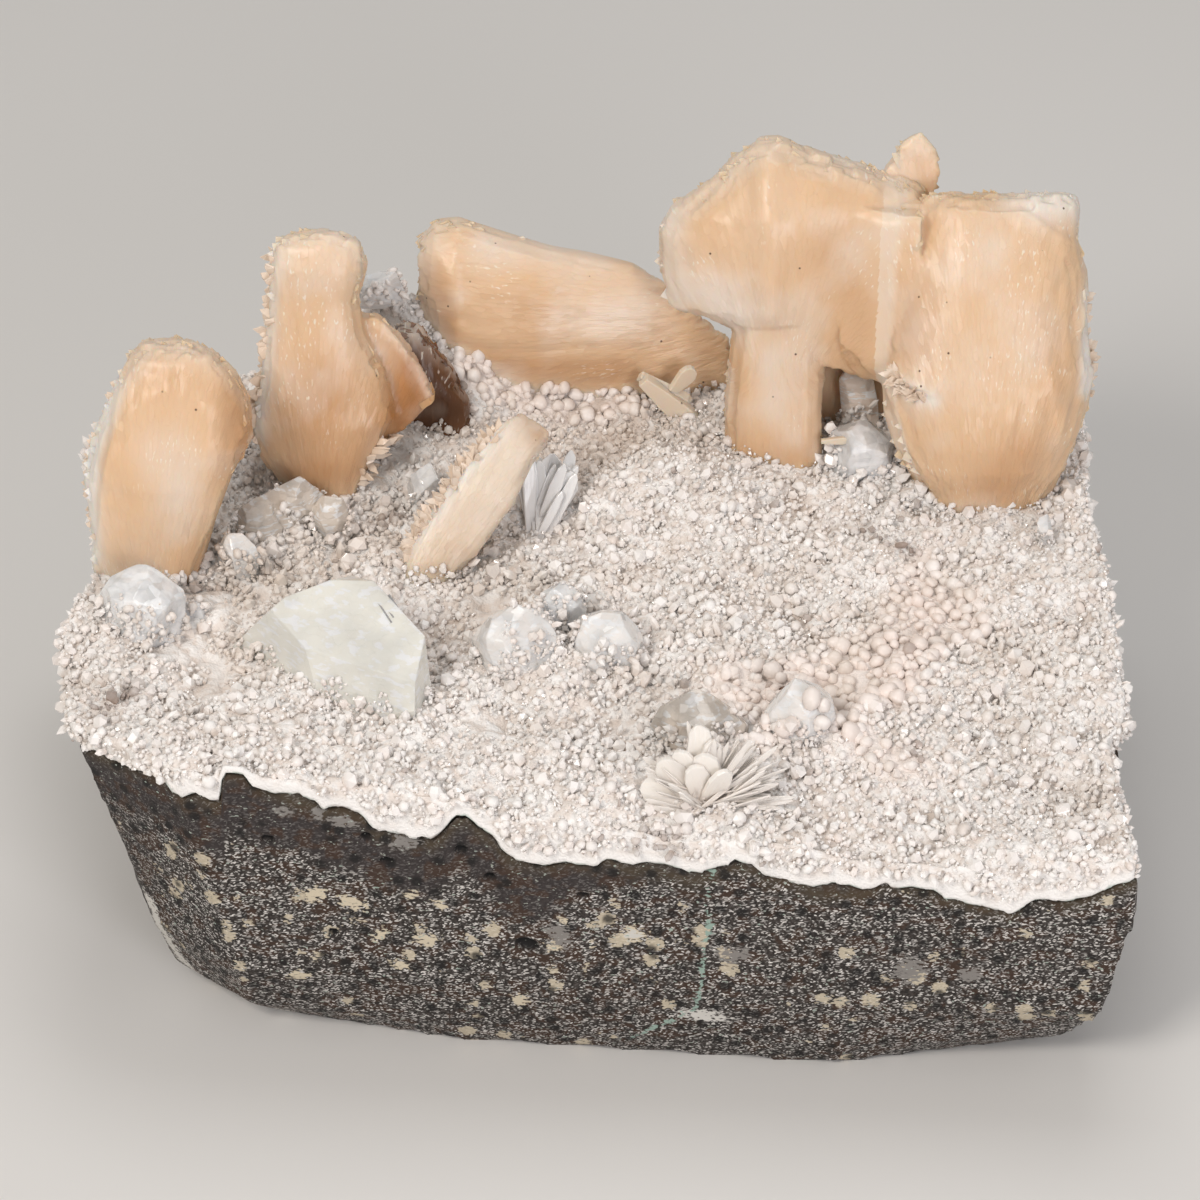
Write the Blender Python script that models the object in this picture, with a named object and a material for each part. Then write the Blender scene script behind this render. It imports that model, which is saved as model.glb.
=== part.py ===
"""Apophyllite and stilbite crystals on a white druse crust, on a sawn block of basalt.

One natural specimen that sits on its flat underside. +X runs along the sawn front face,
+Y away from the viewer, +Z up. Lengths below are millimetres; the meshes are metres.
"""

import math

import bmesh
import bpy
from mathutils import Matrix, Vector, noise

MM = 0.001

# Driving sizes
FACE_GAP = 0.3            # air left between two pieces that touch
FOOT_GAP = 0.4            # air between the crust and the foot of a crystal
CRUST_THICKNESS = 5.5     # white druse over the basalt, away from the sawn face
TOP_CELL = 4.7            # spacing of the crust's modelled relief
SEAT_CELL = 8.0           # spacing of the hidden contact between crust and basalt
FIELD_HALF_X = 84.0       # the relief is worked out over this rectangle
FIELD_HALF_Y = 74.0
FIELD_FLOOR = -20.0       # bottom of the solids that stand for the ground
RELIEF_REACH = 11.0       # how far one relief point makes itself felt
KNOB_RELIEF = 1.8         # height of the cauliflower lumps
KNOB_SPACING = 9.0        # distance from lump to lump
FRONT_BLEND = 16.0        # how deep the sawn face's contact line is followed inwards
FEATURE_SPREAD = 0.6      # share of a lump's radius over which it fades
SEAT_HIGHEST = 54.0       # the basalt stays below this under the tall back of the crust
SAWN_X, SAWN_Y = -58.0, -52.0    # the sawn face passes here
SAWN_SLOPE = -0.0827      # and runs forward by this much in each millimetre to the right
ROCK_ROUGHNESS = 2.2      # broken faces of the basalt, in and out
ROCK_LUMP = 13.0          # distance from bulge to bulge on those faces
CRUST_BLANK = (20, 100)   # bottom and top of the crust before it is cut to its two grounds

# Height of the crust's top surface at places chosen by hand: x, y, z
RELIEF = (
    (-74, -40, 50.5), (-60, -50, 51.0), (-45, -54, 51.5), (-30, -56, 48.0), (-10, -57, 43.8),
    (10, -58, 43.0), (30, -60, 41.5), (50, -62, 40.5), (73, -62, 43.0),
    (-76, -22, 50.0), (-57, -31, 47.4), (-38, -34, 46.6), (-15, -34, 46.0), (5, -36, 45.0),
    (25, -38, 43.8), (48, -38, 42.0), (73, -38, 42.5),
    (-75, -2, 49.5), (-54, -10, 46.0), (-32, -10, 47.0), (-10, -12, 47.0), (10, -12, 46.0),
    (32, -12, 45.5), (52, -12, 43.8), (74, -12, 44.2),
    (-75, 18, 50.0), (-52, 12, 47.5), (-30, 12, 48.5), (-8, 14, 47.0), (14, 12, 47.5),
    (34, 10, 46.0), (54, 12, 46.0), (74, 12, 47.5),
    (-76, 36, 52.0), (-54, 34, 50.5), (-33, 34, 50.0), (-10, 34, 47.5), (10, 36, 48.5),
    (34, 34, 48.0), (56, 34, 48.5), (74, 32, 50.0),
    (-60, 48, 52.0), (-48, 49, 54.0), (-38, 49, 66.0), (-26, 50, 67.0), (-10, 48, 51.0),
    (8, 48, 50.0), (30, 49, 50.0), (55, 49, 50.5), (74, 47, 51.0),
)
# Lumps and hollows on that surface: x, y, radius, height
FEATURES = (
    (14, 25, 11, 4.5), (2, 20, 7, 2.0), (-8, 31, 9, -1.5), (-52, -16, 8, -1.5), (48, 2, 8, -1.2),
    (36, -14, 6, -1.4), (28, -26, 6, -1.0), (-73, -30, 4, -2.0), (-20, 41, 5, 4.0), (4, 42, 5, 3.0),
    (60, -2, 8, 1.2), (-64, -22, 7, 1.0), (-46, -29, 9, -1.2), (14, -34, 6, -1.0), (-30, 49, 7, 3.5),
)
# Contact between basalt and crust along the sawn face: x, z
CONTACT = (
    (-78, 46.5), (-61, 45.2), (-54, 45.6), (-50, 48.6), (-42, 46.2), (-35, 44.5), (-28, 40.8),
    (-19, 42.2), (-14, 37.6), (-5, 36.3), (15, 36.6), (20, 39.4), (27, 35.6), (42, 35.2),
    (56, 32.0), (62, 34.6), (78, 38.4),
)

# Rock outline at each height, front left corner first, then round by the right and the back
ROCK_LEVELS = (
    (0, ((-46, -45.5), (-22, -51.5), (34, -57), (63, -51.5), (69, 0), (66, 41), (0, 45),
         (-60, 40), (-67, 0), (-60, -36))),
    (5, ((-51, -49.5), (-22, -53.5), (34, -58.5), (67.5, -56.5), (71, 0), (70, 45), (0, 48),
         (-66, 42), (-69, 0), (-63, -39.5))),
    (14, ((-52.6, -52.4), (-22, -55), (34, -59.6), (72, -61.8), (74, 0), (73, 47), (0, 50),
          (-72, 43), (-71, 0), (-65, -42))),
    (30, ((-55.6, -52.2), (-22, -55), (34, -59.6), (75, -63), (75, 0), (74, 48), (0, 50),
          (-74, 42), (-73, 0), (-69.5, -41.2))),
    (46, ((-58.9, -51.9), (-22, -55), (34, -59.6), (75, -63), (74.6, 0), (74, 48), (0, 50),
          (-75, 41), (-75, 0), (-75, -40))),
    (90, ((-58.9, -51.9), (-22, -55), (34, -59.6), (75, -63), (74.6, 0), (74, 48), (0, 50),
          (-75, 41), (-75, 0), (-75, -40))),
)
ROCK_STEPS = (4, 6, 4, 6, 5, 7, 7, 5, 5, 3)      # segments between those corners
SAWN_SIDES = 3                                   # the first sides stay flat, the rest are broken

# Plan outline of the crust, which bulges past the rock on the left and steps in on the right
CRUST_OUTLINE = (
    (-58.9, -51.9), (-40, -53.5), (-22, -55), (6, -57.3), (34, -59.6), (55, -61.3), (74.6, -63),
    (74, -45.7), (73.5, -34.3), (76.2, -28.4), (75.8, -15.3), (75.9, 4.7), (73.7, 15),
    (74.4, 31), (74, 48), (55, 49.5), (38, 48.6), (18, 50.4), (0, 49.4), (-14, 50.8),
    (-26, 51.4), (-36, 51), (-48, 46.5), (-60, 43), (-76, 40), (-78.5, 28), (-75.3, 9.5),
    (-75, -1), (-76, -8), (-78.6, -18), (-76.8, -30), (-75, -40),
)

PEACH = (0.74, 0.52, 0.33)
PALE_PEACH = (0.82, 0.68, 0.55)
COLOURS = {
    "basalt": ((0.065, 0.055, 0.052), 0.85, 0.0),
    "druse": ((0.78, 0.70, 0.67), 0.45, 0.0),
    "stilbite": (PEACH, 0.38, 0.0),
    "pale_stilbite": (PALE_PEACH, 0.35, 0.0),
    "apophyllite": ((0.78, 0.86, 0.80), 0.08, 0.0),
    "clear": ((0.86, 0.85, 0.86), 0.1, 0.0),
    "milky": ((0.85, 0.80, 0.76), 0.3, 0.0),
}


def spread(low, high, share):
    """The value that lies share of the way from low to high."""
    return low + (high - low) * share


def along(profile, place):
    """Reads a profile of (place, height) pairs at any place."""
    if place <= profile[0][0]:
        return profile[0][1]
    for (x0, z0), (x1, z1) in zip(profile, profile[1:]):
        if place <= x1:
            return spread(z0, z1, (place - x0) / (x1 - x0))
    return profile[-1][1]


def front_line(x):
    """Y of the sawn front face at x."""
    return SAWN_Y + SAWN_SLOPE * (x - SAWN_X)


def relief(x, y):
    """Crust height without its small lumps."""
    total = weight = 0.0
    for px, py, pz in RELIEF:
        share = math.exp(-((x - px) ** 2 + (y - py) ** 2) / (2 * RELIEF_REACH ** 2)) + 1e-9
        total += share * pz
        weight += share
    height = total / weight
    for px, py, radius, rise in FEATURES:
        reach = radius * FEATURE_SPREAD
        height += rise * math.exp(-((x - px) ** 2 + (y - py) ** 2) / (2 * reach ** 2))
    return height


def crust_top(x, y):
    """Height of the crust's top surface."""
    lumps = noise.noise(Vector((x / KNOB_SPACING, y / KNOB_SPACING, 3.7)))
    return relief(x, y) + KNOB_RELIEF * lumps


def seat(x, y):
    """Height of the basalt under the crust."""
    inside = max(0.0, y - front_line(x))
    share = math.exp(-(inside / FRONT_BLEND) ** 2)
    deep = min(relief(x, y) - CRUST_THICKNESS, SEAT_HIGHEST)
    return spread(deep, along(CONTACT, x), share)


def link(name, mesh, collection, finish=None):
    """Adds a mesh to the scene as one named object."""
    thing = bpy.data.objects.new(name, mesh)
    collection.objects.link(thing)
    if finish:
        mesh.materials.clear()
        mesh.materials.append(finish)
    else:
        thing.hide_render = True
        thing.display_type = "WIRE"
    return thing


def to_mesh(name, bm):
    """Turns a bmesh in millimetres into a closed, outward mesh in metres."""
    bmesh.ops.recalc_face_normals(bm, faces=bm.faces[:])
    bmesh.ops.scale(bm, vec=(MM, MM, MM), verts=bm.verts[:])
    bmesh.ops.triangulate(bm, faces=bm.faces[:])
    mesh = bpy.data.meshes.new(name)
    bm.to_mesh(mesh)
    bm.free()
    return mesh


def make_finish(name, colour, roughness, metallic):
    """A plain Principled material for one kind of piece."""
    finish = bpy.data.materials.new(name)
    finish.use_nodes = True
    shader = finish.node_tree.nodes["Principled BSDF"]
    shader.inputs["Base Color"].default_value = (*colour, 1.0)
    shader.inputs["Roughness"].default_value = roughness
    shader.inputs["Metallic"].default_value = metallic
    finish.diffuse_color = (*colour, 1.0)
    return finish


def combine(thing, operand, operation):
    """Adds a live Boolean to a piece."""
    step = thing.modifiers.new(f"{operation.lower()} {operand.name}", "BOOLEAN")
    step.operation = operation
    step.solver = "EXACT"
    step.object = operand


def ring(bm, places):
    """A closed loop of edges through the given places."""
    verts = [bm.verts.new(place) for place in places]
    edges = [bm.edges.new((a, b)) for a, b in zip(verts, verts[1:] + verts[:1])]
    return verts, edges


def loft(rings):
    """A closed body through rings that have the same number of points."""
    bm = bmesh.new()
    made = [ring(bm, places) for places in rings]
    for (_, low), (_, high) in zip(made, made[1:]):
        bmesh.ops.bridge_loops(bm, edges=low + high)
    bm.faces.new(made[0][0])
    bm.faces.new(made[-1][0])
    return bm


def ground(name, height, cell, lift, collection):
    """The solid below a height function, used to cut the pieces that stand on it."""
    bm = bmesh.new()
    bmesh.ops.create_grid(
        bm, x_segments=round(2 * FIELD_HALF_X / cell), y_segments=round(2 * FIELD_HALF_Y / cell),
        size=1.0,
    )
    bmesh.ops.triangulate(bm, faces=bm.faces[:])
    low = bmesh.ops.extrude_face_region(bm, geom=bm.faces[:])["geom"]
    low = {part for part in low if isinstance(part, bmesh.types.BMVert)}
    for vert in bm.verts:
        x, y = vert.co.x * FIELD_HALF_X, vert.co.y * FIELD_HALF_Y
        vert.co = (x, y, FIELD_FLOOR if vert in low else height(x, y) + lift)
    return link(name, to_mesh(name, bm), collection)


def rock_ring(level, corners):
    """Points round the rock at one height, roughened on its broken sides."""
    places = []
    for side, steps in enumerate(ROCK_STEPS):
        (x0, y0), (x1, y1) = corners[side], corners[(side + 1) % len(corners)]
        for step in range(steps):
            x, y = spread(x0, x1, step / steps), spread(y0, y1, step / steps)
            corner_kept = step == 0 and side in (0, SAWN_SIDES, len(ROCK_STEPS) - 1)
            if side >= SAWN_SIDES and side != len(ROCK_STEPS) - 1 and level and not corner_kept:
                out = Vector((x, y)).normalized()
                rough = ROCK_ROUGHNESS * noise.noise(Vector((x, y, level)) / ROCK_LUMP)
                x, y = x + out.x * rough, y + out.y * rough
            places.append((x, y, level))
    return places


def make_rock(seat_ground, collection, finish):
    """The basalt block, sawn in front and broken everywhere else."""
    bm = loft([rock_ring(level, corners) for level, corners in ROCK_LEVELS])
    rock = link("basalt_matrix", to_mesh("basalt_matrix", bm), collection, finish)
    combine(rock, seat_ground, "INTERSECT")
    return rock


def make_crust(top_ground, seat_ground, collection, finish):
    """The druse crust as grown, one sheet over the whole top of the rock."""
    bm = loft([[(x, y, z) for x, y in CRUST_OUTLINE] for z in CRUST_BLANK])
    crust = link("druse_crust", to_mesh("druse_crust", bm), collection, finish)
    combine(crust, top_ground, "INTERSECT")
    combine(crust, seat_ground, "DIFFERENCE")
    return crust


def axes(lean, roll, turn=0.0):
    """Side, growth and depth directions of a crystal: it leans back, then rolls to the right."""
    lean, roll, turn = (math.radians(value) for value in (lean, roll, turn))
    back = Vector((0, math.sin(lean), math.cos(lean)))
    side = Vector((1, 0, 0)) * math.cos(roll) - back * math.sin(roll)
    growth = back * math.cos(roll) + Vector((1, 0, 0)) * math.sin(roll)
    depth = growth.cross(side)
    twist = Matrix.Rotation(turn, 3, growth)
    return twist @ side, growth, twist @ depth


def sheaf_mesh(name, root, frame, stations, around=16, square=2.6):
    """A sheaf: rounded sections (height, left, right, front, back) bridged along its growth."""
    side, growth, depth = frame
    rings = []
    for height, left, right, front, back in stations:
        places = []
        for step in range(around):
            angle = 2 * math.pi * (step + 0.5) / around
            across = math.copysign(abs(math.cos(angle)) ** (2 / square), math.cos(angle))
            deep = math.copysign(abs(math.sin(angle)) ** (2 / square), math.sin(angle))
            a = spread(left, right, (across + 1) / 2)
            c = spread(front, back, (deep + 1) / 2)
            places.append(Vector(root) + side * a + growth * height + depth * c)
        rings.append(places)
    return to_mesh(name, loft(rings))


def plate_mesh(name, root, frame, outline, front, back):
    """A flat blade: an outline of (across, up) points given a thickness."""
    side, growth, depth = frame
    bm = loft([[Vector(root) + side * a + growth * b + depth * c for a, b in outline]
               for c in (front, back)])
    return to_mesh(name, bm)


def cut_crystal_mesh(name, centre, half, cuts, turn=None):
    """A block cut by flat faces, each a (outward direction, distance from the centre)."""
    bm = bmesh.new()
    bmesh.ops.create_cube(bm, size=2.0)
    bmesh.ops.scale(bm, vec=half, verts=bm.verts[:])
    for direction, distance in cuts:
        facing = Vector(direction).normalized()
        cut = bmesh.ops.bisect_plane(
            bm, geom=bm.verts[:] + bm.edges[:] + bm.faces[:], dist=0.001,
            plane_co=facing * distance, plane_no=facing, clear_outer=True,
        )
        rim = [part for part in cut["geom_cut"] if isinstance(part, bmesh.types.BMEdge)]
        if rim:
            bmesh.ops.contextual_create(bm, geom=rim)
    if turn:
        spin = Matrix.Rotation(math.radians(turn[2]), 3, "Z")
        spin = spin @ Matrix.Rotation(math.radians(turn[1]), 3, "Y")
        spin = spin @ Matrix.Rotation(math.radians(turn[0]), 3, "X")
        bmesh.ops.rotate(bm, matrix=spin, verts=bm.verts[:])
    bmesh.ops.translate(bm, vec=centre, verts=bm.verts[:])
    return to_mesh(name, bm)


def through(centre, *corners):
    """The flat face through three corners, as cut_crystal_mesh takes it."""
    a, b, c = (Vector(corner) - Vector(centre) for corner in corners)
    facing = (b - a).cross(c - a).normalized()
    distance = facing.dot(a)
    return (facing, distance) if distance > 0 else (-facing, -distance)


def corner_faces(half, share):
    """The eight pyramid faces that take the corners off an apophyllite block."""
    reach = math.sqrt(3) * min(half) * (1 - share)
    return [((x, y, z), reach) for x in (-1, 1) for y in (-1, 1) for z in (-1, 1)]


# The big pale green crystal, by the corners that show
GREEN_CENTRE = (-40.0, -24.0, 48.0)
GREEN_HALF = (18.0, 15.0, 12.0)
GREEN_LEFT = (-51.0, -21.6, 52.5)
GREEN_TOP_LEFT = (-45.9, -17.3, 55.1)
GREEN_TOP = (-39.3, -15.7, 57.0)
GREEN_TOP_RIGHT = (-32.7, -16.9, 57.7)
GREEN_RIGHT = (-25.2, -26.6, 55.1)
GREEN_FRONT_RIGHT = (-26.8, -35.9, 51.0)
GREEN_FRONT = (-38.2, -31.6, 50.7)
GREEN_FOLD = (-42.6, -25.8, 52.3)
GREEN_FACES = (
    (GREEN_LEFT, GREEN_TOP_RIGHT, GREEN_FRONT_RIGHT),
    (GREEN_LEFT, GREEN_FOLD, (-53.5, -26.4, 46.5)),
    (GREEN_FOLD, GREEN_FRONT, (-42.3, -30.3, 46.0)),
    (GREEN_FRONT, GREEN_FRONT_RIGHT, (-38.2, -33.4, 45.5)),
    (GREEN_FRONT_RIGHT, GREEN_RIGHT, (-24.2, -31.5, 46.5)),
    (GREEN_RIGHT, GREEN_TOP_RIGHT, (-24.7, -29.6, 46.5)),
    (GREEN_TOP_RIGHT, GREEN_TOP, (-39.6, -12.4, 55.6)),
    (GREEN_TOP_LEFT, GREEN_TOP, (-45.0, -11.8, 50.0)),
    (GREEN_LEFT, GREEN_TOP_LEFT, (-55.6, -21.8, 48.6)),
)

# Smaller crystals: name, finish, centre, half sizes, turn, corner cut
BLOCKS = (
    ("apophyllite_left_edge", "clear", (-67.2, -13.6, 50.6), (5.6, 5.4, 5.2), (28, 12, 20), 0.36),
    ("apophyllite_left_small", "clear", (-60.0, -10.0, 48.2), (1.9, 2.4, 2.2), (10, 25, 40), 0.3),
    ("apophyllite_cream_block", "milky", (-11.8, -19.8, 48.2), (5.6, 4.8, 4.8), (18, -14, 24), 0.3),
    ("apophyllite_round_clear", "clear", (-6.0, -10.4, 48.6), (3.8, 3.5, 3.3), (30, 20, 0), 0.42),
    ("apophyllite_milky_block", "milky", (0.8, -18.2, 47.4), (5.0, 4.8, 4.2), (25, 10, -20), 0.36),
    ("apophyllite_grey_block", "clear", (13.8, -34.6, 45.0), (10.2, 4.2, 4.0), (20, 2, -6), 0.3),
    ("apophyllite_lilac_block", "milky", (29.0, -33.4, 46.0), (4.8, 4.2, 4.0), (24, -8, 14), 0.34),
    ("apophyllite_clear_back", "clear", (40.4, 28.2, 50.2), (4.2, 4.0, 4.0), (15, 20, 30), 0.34),
    ("apophyllite_small_clear", "clear", (-26.4, 17.6, 51.4), (3.0, 2.8, 2.8), (20, -15, 35), 0.32),
    ("white_left_block", "milky", (-53.9, 1.6, 49.8), (2.7, 2.9, 4.2), (-8, -14, 25), 0.3),
    ("bright_white_crystal", "milky", (67.0, 9.4, 49.2), (1.7, 1.9, 2.2), (20, 10, 20), 0.3),
)
CLEAR_GROUP = (
    ((-46.8, 12.0, 51.8), (5.6, 3.0, 4.6), (12, 8, 14), 0.3),
    ((-40.4, 10.2, 50.2), (2.8, 2.6, 3.4), (20, -12, 40), 0.32),
    ((-51.4, 9.6, 50.2), (3.2, 2.8, 3.6), (4, 18, 30), 0.34),
)
# Blades of the clear striated fan: root, lean, roll, length, half width, half thickness
FAN_BLADES = (
    ((-10.2, 15.5, 45.0), 28, -4, 11.5, 2.6, 1.2),
    ((-8.6, 15.5, 45.0), 26, 10, 12.0, 2.6, 1.2),
    ((-7.6, 14.5, 45.0), 24, 24, 10.6, 2.4, 1.1),
    ((-10.0, 12.5, 45.0), 38, 12, 9.0, 2.4, 1.4),
)
# Petals of the rosette: lean, roll, turn, length, half width, half thickness
ROSETTE_ROOT = (14.6, -51.0, 44.4)
ROSETTE_PETALS = (
    (18, -3, 0, 10.4, 2.8, 1.0),
    (-16, 3, 4, 7.6, 4.2, 1.2),
    (8, -40, -8, 8.4, 3.2, 0.9),
    (38, -74, 0, 8.6, 3.2, 0.9),
    (18, 32, 10, 10.4, 2.6, 0.8),
    (34, 56, 6, 11.4, 2.8, 0.8),
    (44, 82, 0, 12.0, 3.0, 0.9),
    (-70, 18, 0, 7.0, 3.2, 0.9),
    (-66, -30, 0, 6.6, 3.0, 0.9),
)

# Sheaves, each a root, (lean, roll) and stations: height, left, right, front, back
LEFT_ROOT, LEFT_TILT = (-65.0, -0.5, 47.0), (20, 0)
LEFT_STATIONS = (
    (-6, -9.5, 3.5, -2, 5), (0, -10.4, 4.0, -3.4, 6), (8, -10.8, 7.6, -6, 7),
    (15, -11.5, 10.4, -7.8, 7.6), (21, -10.2, 13.6, -8.2, 7.6), (27, -7.6, 13.0, -7.8, 7),
    (31, -5.8, 11.0, -7, 6), (34, -4.2, 8.4, -6, 4.5), (35.6, -2.0, 5.4, -4, 2.5),
)
TALL_ROOT, TALL_TILT = (-40.5, 19.9, 47.0), (18, 0)
TALL_STATIONS = (
    (-6, -5, 2, -3, 3), (2, -6.5, 3.6, -4, 4), (7, -11, 5.8, -5.5, 5.5), (12.5, -12.3, 9.6, -6.2, 6),
    (19, -10.8, 8.0, -6, 5.6), (26.5, -10, 4.8, -5.2, 5), (31.5, -9, 4.2, -4.8, 4.6),
    (36.5, -9.1, 5.6, -5.2, 4.8), (40, -8.6, 4.6, -4.4, 3.6), (41.6, -5.6, 1.6, -3.2, 1.6),
)
TALL_BLADE_DEPTH = (1.2, 5.4)        # its front and back
TALL_BLADE = ((3, 3), (8.2, 9), (12, 11.4), (15.2, 15), (13, 20), (10.2, 24.2), (6.8, 27.6), (3, 28))
SHADOW_ROOT, SHADOW_TILT = (-26.4, 34.2, 45.4), (10, 0)
SHADOW_STATIONS = (
    (-4, -4, 5, -4, 4), (2, -5, 6, -4.5, 4.5), (6, -5.5, 6.8, -4.6, 5), (10, -6, 6.2, -4.4, 5),
    (14, -6, 3.6, -4, 4.6), (18, -5.8, 0.4, -3.4, 4), (21, -4.8, -1.2, -2.2, 2.6),
)
RECLINING_ROOT = (0.0, 47.0, 49.0)
RECLINING_LEAN = 14
RECLINING_STATIONS = (
    (-20, -1, 8, -1.6, 3), (-15.5, -0.6, 12, -2.6, 4), (-10.5, 0.8, 17, -4.4, 4.4),
    (-5, 1.2, 20.5, -6, 4.6), (0, 0.6, 21.8, -7.4, 5.4), (8, 1, 23.6, -8.6, 6.2),
    (16, 2.6, 26, -9, 6.6), (22, 5.2, 28, -8.6, 6.6), (25.4, 9.5, 27.6, -7.2, 5.8), (28, 14.5, 24.6, -4.6, 4),
)
CENTRE_ROOT, CENTRE_TILT = (27.9, 32.6, 48.0), (16, 0)
STEM_STATIONS = (
    (-6, -8, 6, -5, 5), (0, -8.6, 6.6, -5.8, 5.6), (8, -8.4, 6.4, -6, 6), (16, -7.6, 6.6, -6.2, 6.2),
    (24, -7, 7.4, -6.8, 6.6), (30, -7, 8, -7, 7),
)
CAP_STATIONS = (
    (13.5, 3, 16, -4, 5), (19.5, -9, 17.6, -6.2, 6.4), (23, -17, 18.2, -7.6, 7.6),
    (28, -18.7, 19.2, -9, 8.6), (34.5, -19, 21.6, -9.8, 9), (38, -17, 22.4, -9.8, 9),
    (41, -12.8, 20.6, -9, 8.4), (44.5, -9.2, 12, -7.6, 7), (47, -6.4, 3.6, -5.6, 4.6),
    (48.8, -4.2, -0.6, -3, 1.6),
)
CENTRE_BLADE_DEPTH = (2.0, 5.4)
CENTRE_BLADE = ((13, 38), (22.5, 38), (24, 43), (22.6, 46.6), (20.9, 48.4), (18.6, 47.2), (15.8, 43.4))
RIGHT_ROOT, RIGHT_TILT = (58.9, 20.4, 47.0), (26, 0)
RIGHT_STATIONS = (
    (-3, -6.2, 7.4, -3, 5), (1, -9.2, 9.6, -6.5, 8), (4.4, -11.8, 12, -9.4, 9.6),
    (8.6, -13.9, 13.6, -11.2, 10.6), (13.4, -15.6, 15, -11.8, 11), (19.2, -16, 16.2, -11.6, 11.6),
    (26.4, -15.6, 15.3, -10.8, 11.2), (34.6, -13.6, 14.8, -9.6, 10), (39.5, -12, 13, -8.8, 8.6),
    (44.2, -10.6, 13.2, -7.4, 6.6), (46, -9, 12.6, -4.6, 3.4),
)
BOW_ROOT, BOW_TILT = (-26.1, -2.0, 46.0), (42, 34)
BOW_STATIONS = (
    (-3, -3, 1, -2, 2), (1, -4.2, 1.9, -2.6, 2.6), (4, -5.2, 2.7, -3, 3), (9, -5.6, 3.6, -3.2, 3.2),
    (17, -5.5, 3.9, -3.2, 3.2), (24, -4.3, 2.9, -3, 3), (28, -3.5, 3.0, -2.8, 2.8), (29.4, -2.8, 2.6, -2, 2),
)
SMALL_BLADE, SMALL_BLADE_TILT = (7.6, 39.4, 54.7), (0, 136)
SMALL_BLADE_LENGTH, SMALL_BLADE_HALF_WIDTH, SMALL_BLADE_HALF_THICK = 11, 1.9, 1.1
COLUMN_ROOT, COLUMN_TILT = (40.6, 38.6, 48.5), (10, -8)
COLUMN_STATIONS = (
    (-4, -2.8, 3.0, -2.2, 2.2), (3, -2.9, 3.2, -2.4, 2.4), (8.2, -2.6, 2.8, -2.2, 2.2),
    (9.8, -1.6, 1.8, -1.4, 1.4),
)
RIDGE_ROOT, RIDGE_TILT = (-34.6, 47.6, 67.0), (6, 76)
RIDGE_STATIONS = (
    (-3.4, -2.4, 2.4, -1.6, 1.6), (0, -3.2, 3.2, -2.2, 2.2), (3.4, -2.8, 2.8, -2, 2),
    (5.4, -1.6, 1.6, -1, 1),
)


def petal(length, half_width):
    """Outline of one blade: narrow foot, widest past the middle, blunt point."""
    shape = ((-0.5, -0.16), (0.5, -0.16), (0.85, 0.35), (1.0, 0.7), (0.7, 0.92), (0.2, 1.0), (-0.25, 1.0),
             (-0.75, 0.9), (-1.0, 0.68), (-0.85, 0.35))
    return [(a * half_width, b * length) for a, b in shape]


def joined(name, meshes, parts, cutters, finish, top_ground):
    """Crystals that grew through one another, made one solid with its foot on the crust."""
    body = link(name, meshes[0], parts, finish)
    for count, mesh in enumerate(meshes[1:], start=1):
        combine(body, link(f"{name}_branch_{count}", mesh, cutters), "UNION")
    combine(body, top_ground, "DIFFERENCE")
    return body


def block_mesh(name, centre, half, turn, share):
    """One blocky crystal with its corners taken off."""
    return cut_crystal_mesh(name, centre, half, corner_faces(half, share), turn)


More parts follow.
